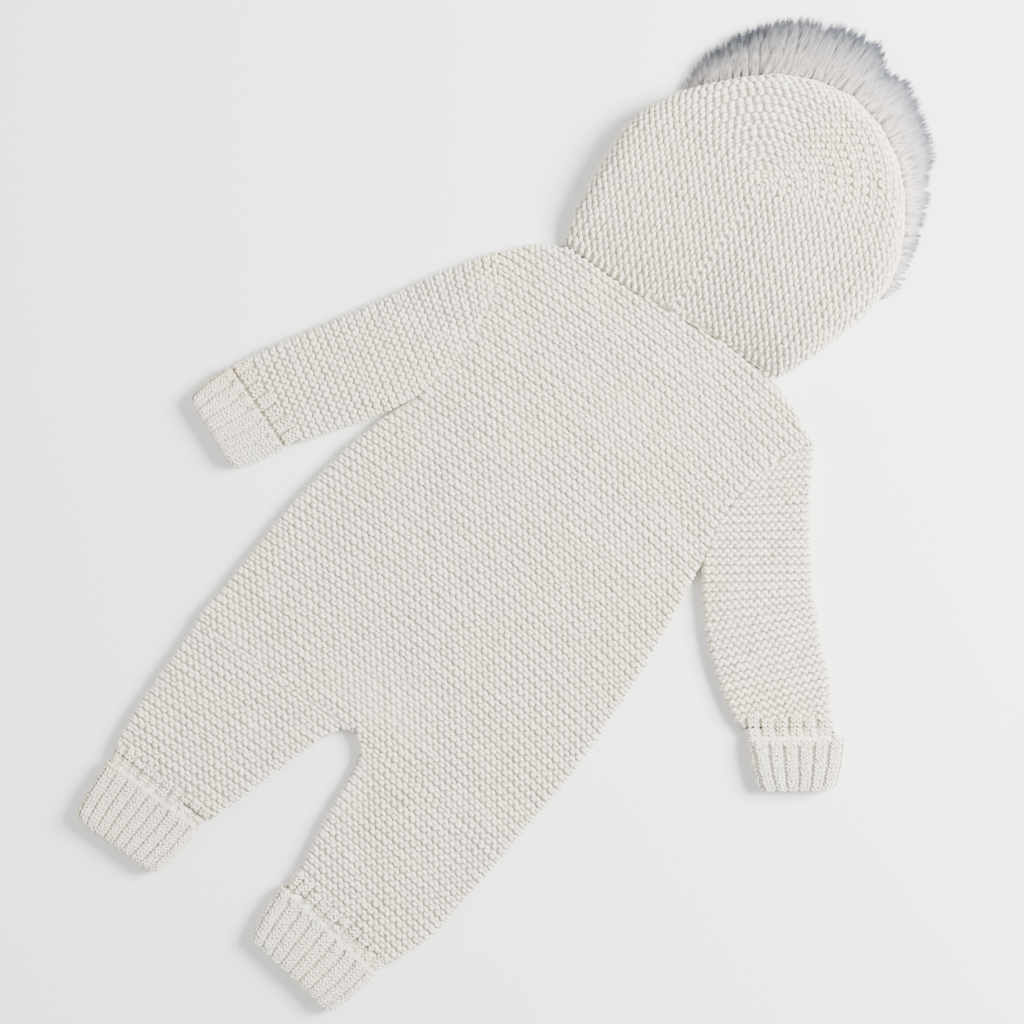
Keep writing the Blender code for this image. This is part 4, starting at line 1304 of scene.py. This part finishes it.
@dataclass
class Studio:
    """The floor, the soft lights and the camera straight above the garment."""

    turn: float = 38.0  # degrees from the garment's X to the picture's right
    width: float = 819.2  # what the picture shows from side to side
    height: float = 1900.0
    focus: float = 8.0
    world: float = 0.72

    def camera(self) -> None:
        """Sets the camera at the photograph's angle."""
        data = bpy.data.cameras.new("camera")
        data.sensor_width = 36.0
        data.lens = 36.0 * (self.height - self.focus) / self.width
        data.clip_end = 20.0
        made = bpy.data.objects.new("camera", data)
        made.location = (-MIDDLE[0] * MM, -MIDDLE[1] * MM, self.height * MM)
        made.rotation_euler = (0, 0, math.radians(self.turn))
        bpy.context.scene.collection.objects.link(made)
        bpy.context.scene.camera = made

    def floor(self) -> None:
        """Lays the floor."""
        bm = bmesh.new()
        bmesh.ops.create_grid(bm, x_segments=1, y_segments=1, size=6.0)
        mesh = bpy.data.meshes.new("floor")
        bm.to_mesh(mesh)
        bm.free()
        mesh.materials.append(FloorFinish().material())
        made = bpy.data.objects.new("floor", mesh)
        bpy.context.scene.collection.objects.link(made)

    def light(self, name: str, at: tuple[float, float, float], size: float, power: float) -> None:
        """Adds a soft square light that faces the garment."""
        data = bpy.data.lights.new(name, "AREA")
        data.shape = "SQUARE"
        data.size = size
        data.energy = power
        made = bpy.data.objects.new(name, data)
        made.location = at
        made.rotation_euler = (-Vector(at)).to_track_quat("-Z", "Y").to_euler()
        bpy.context.scene.collection.objects.link(made)

    def build(self) -> None:
        """Makes the whole studio."""
        self.camera()
        self.floor()
        world = bpy.data.worlds.new("studio")
        world.use_nodes = True
        background = world.node_tree.nodes["Background"]
        background.inputs["Color"].default_value = (1, 1, 1, 1)
        background.inputs["Strength"].default_value = self.world
        bpy.context.scene.world = world
        self.light("key", (1.0, 1.3, 1.3), 1.0, 240)
        self.light("fill", (-1.3, -0.6, 1.6), 1.8, 30)


# ---------------------------------------------------------------- the romper

CREASES = (
    Crease((-112, 40), (-78, 70), 9, 1.2),
    Crease((-114, 22), (-70, 22), 10, 0.9),
    Crease((138, 62), (98, 84), 9, 1.1),
    Crease((140, 44), (92, 36), 12, 0.9),
    Crease((30, -232), (66, -292), 14, 1.5),
    Crease((-6, -226), (-52, -262), 12, 1.0),
    Crease((-140, -190), (-84, -212), 14, 0.9),
    Crease((160, -180), (104, -206), 14, 0.9),
    Crease((-60, 196), (-20, 170), 12, 0.9),
    Crease((66, 208), (40, 176), 12, 0.9),
    Crease((-120, -330), (-108, -296), 6, 0.9),
    Crease((98, -338), (98, -308), 6, 0.8),
)

CUFFS = (
    CuffPlan(
        "cuff_sleeve_left", 14, (-251.5, -48, -174, -73.5), (-262, -87, -194, -112), (0.175, 0.043, 0.0072),
        "sleeve_left",
    ),
    CuffPlan(
        "cuff_sleeve_right", 14, (322.5, 20.5, 260, -29), (343, -15, 291, -56), (0.175, 0.045, 0.0075),
        "sleeve_right", neck_length=17.0,
    ),
    CuffPlan(
        "cuff_leg_left", 20, (-133.5, -356, -40.5, -354), (-128, -408, -44, -405), (0.21, 0.055, 0.0112),
        "back", "front_left",
    ),
    CuffPlan(
        "cuff_leg_right", 20, (37.5, -349, 142.5, -359), (42, -397, 135, -406), (0.23, 0.052, 0.0115),
        "back", "front_right",
    ),
)

FUR_COLOURS = (
    (0.0, (0.74, 0.65, 0.60)),
    (0.3, (0.69, 0.635, 0.605)),
    (0.5, (0.58, 0.565, 0.57)),
    (0.68, (0.38, 0.39, 0.415)),
    (0.84, (0.17, 0.185, 0.22)),
    (1.0, (0.04, 0.05, 0.07)),
)


def main() -> None:
    """Builds every piece in order."""
    logging.basicConfig(level=logging.INFO, format="%(name)s: %(message)s")
    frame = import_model()
    Studio().build()
    tint, warm, grey = (0.85, 0.79, 0.655), (0.86, 0.785, 0.60), (0.83, 0.79, 0.68)
    # painted shade: this darker colour of the under wool stands for the shade in the gaps between the loops
    deep = (0.56, 0.49, 0.38)
    folds = np.random.default_rng(23)
    cloth = Cloth(
        frame["nodes"],
        Knitter(7),
        [*CREASES, *(crease for cuff in CUFFS for crease in cuff.gathers(folds))],
        CUFFS,
        WoolFinish("garter_wool_yarn", tint, warm, grey).material(),
        WoolFinish("rib_wool_yarn", tint, warm, grey).material(),
        WoolFinish("wool_under_painted_shade", deep, deep, deep, plied=False).material(),
    )
    Body(cloth).build()
    Sleeve(cloth, "sleeve_left", ((-70, 150), (-127, 92), (-211, -58), (-221, -76)), (0.25, 0.18, 0.035)).build()
    Sleeve(
        cloth, "sleeve_right", ((110, 170), (152, 126), (205, 60), (279, -1), (294, -13)), (0.25, 0.19, 0.038)
    ).build()
    Hood(cloth).build()
    for plan in CUFFS:
        Cuff(cloth, plan).build()
    FrontBand(cloth, ButtonFinish("button", (0.62, 0.52, 0.40), (0.42, 0.33, 0.24))).build()
    FurTrim(cloth, FurFinish("fur_pile", FUR_COLOURS)).build()


if __name__ == "__main__":
    main()
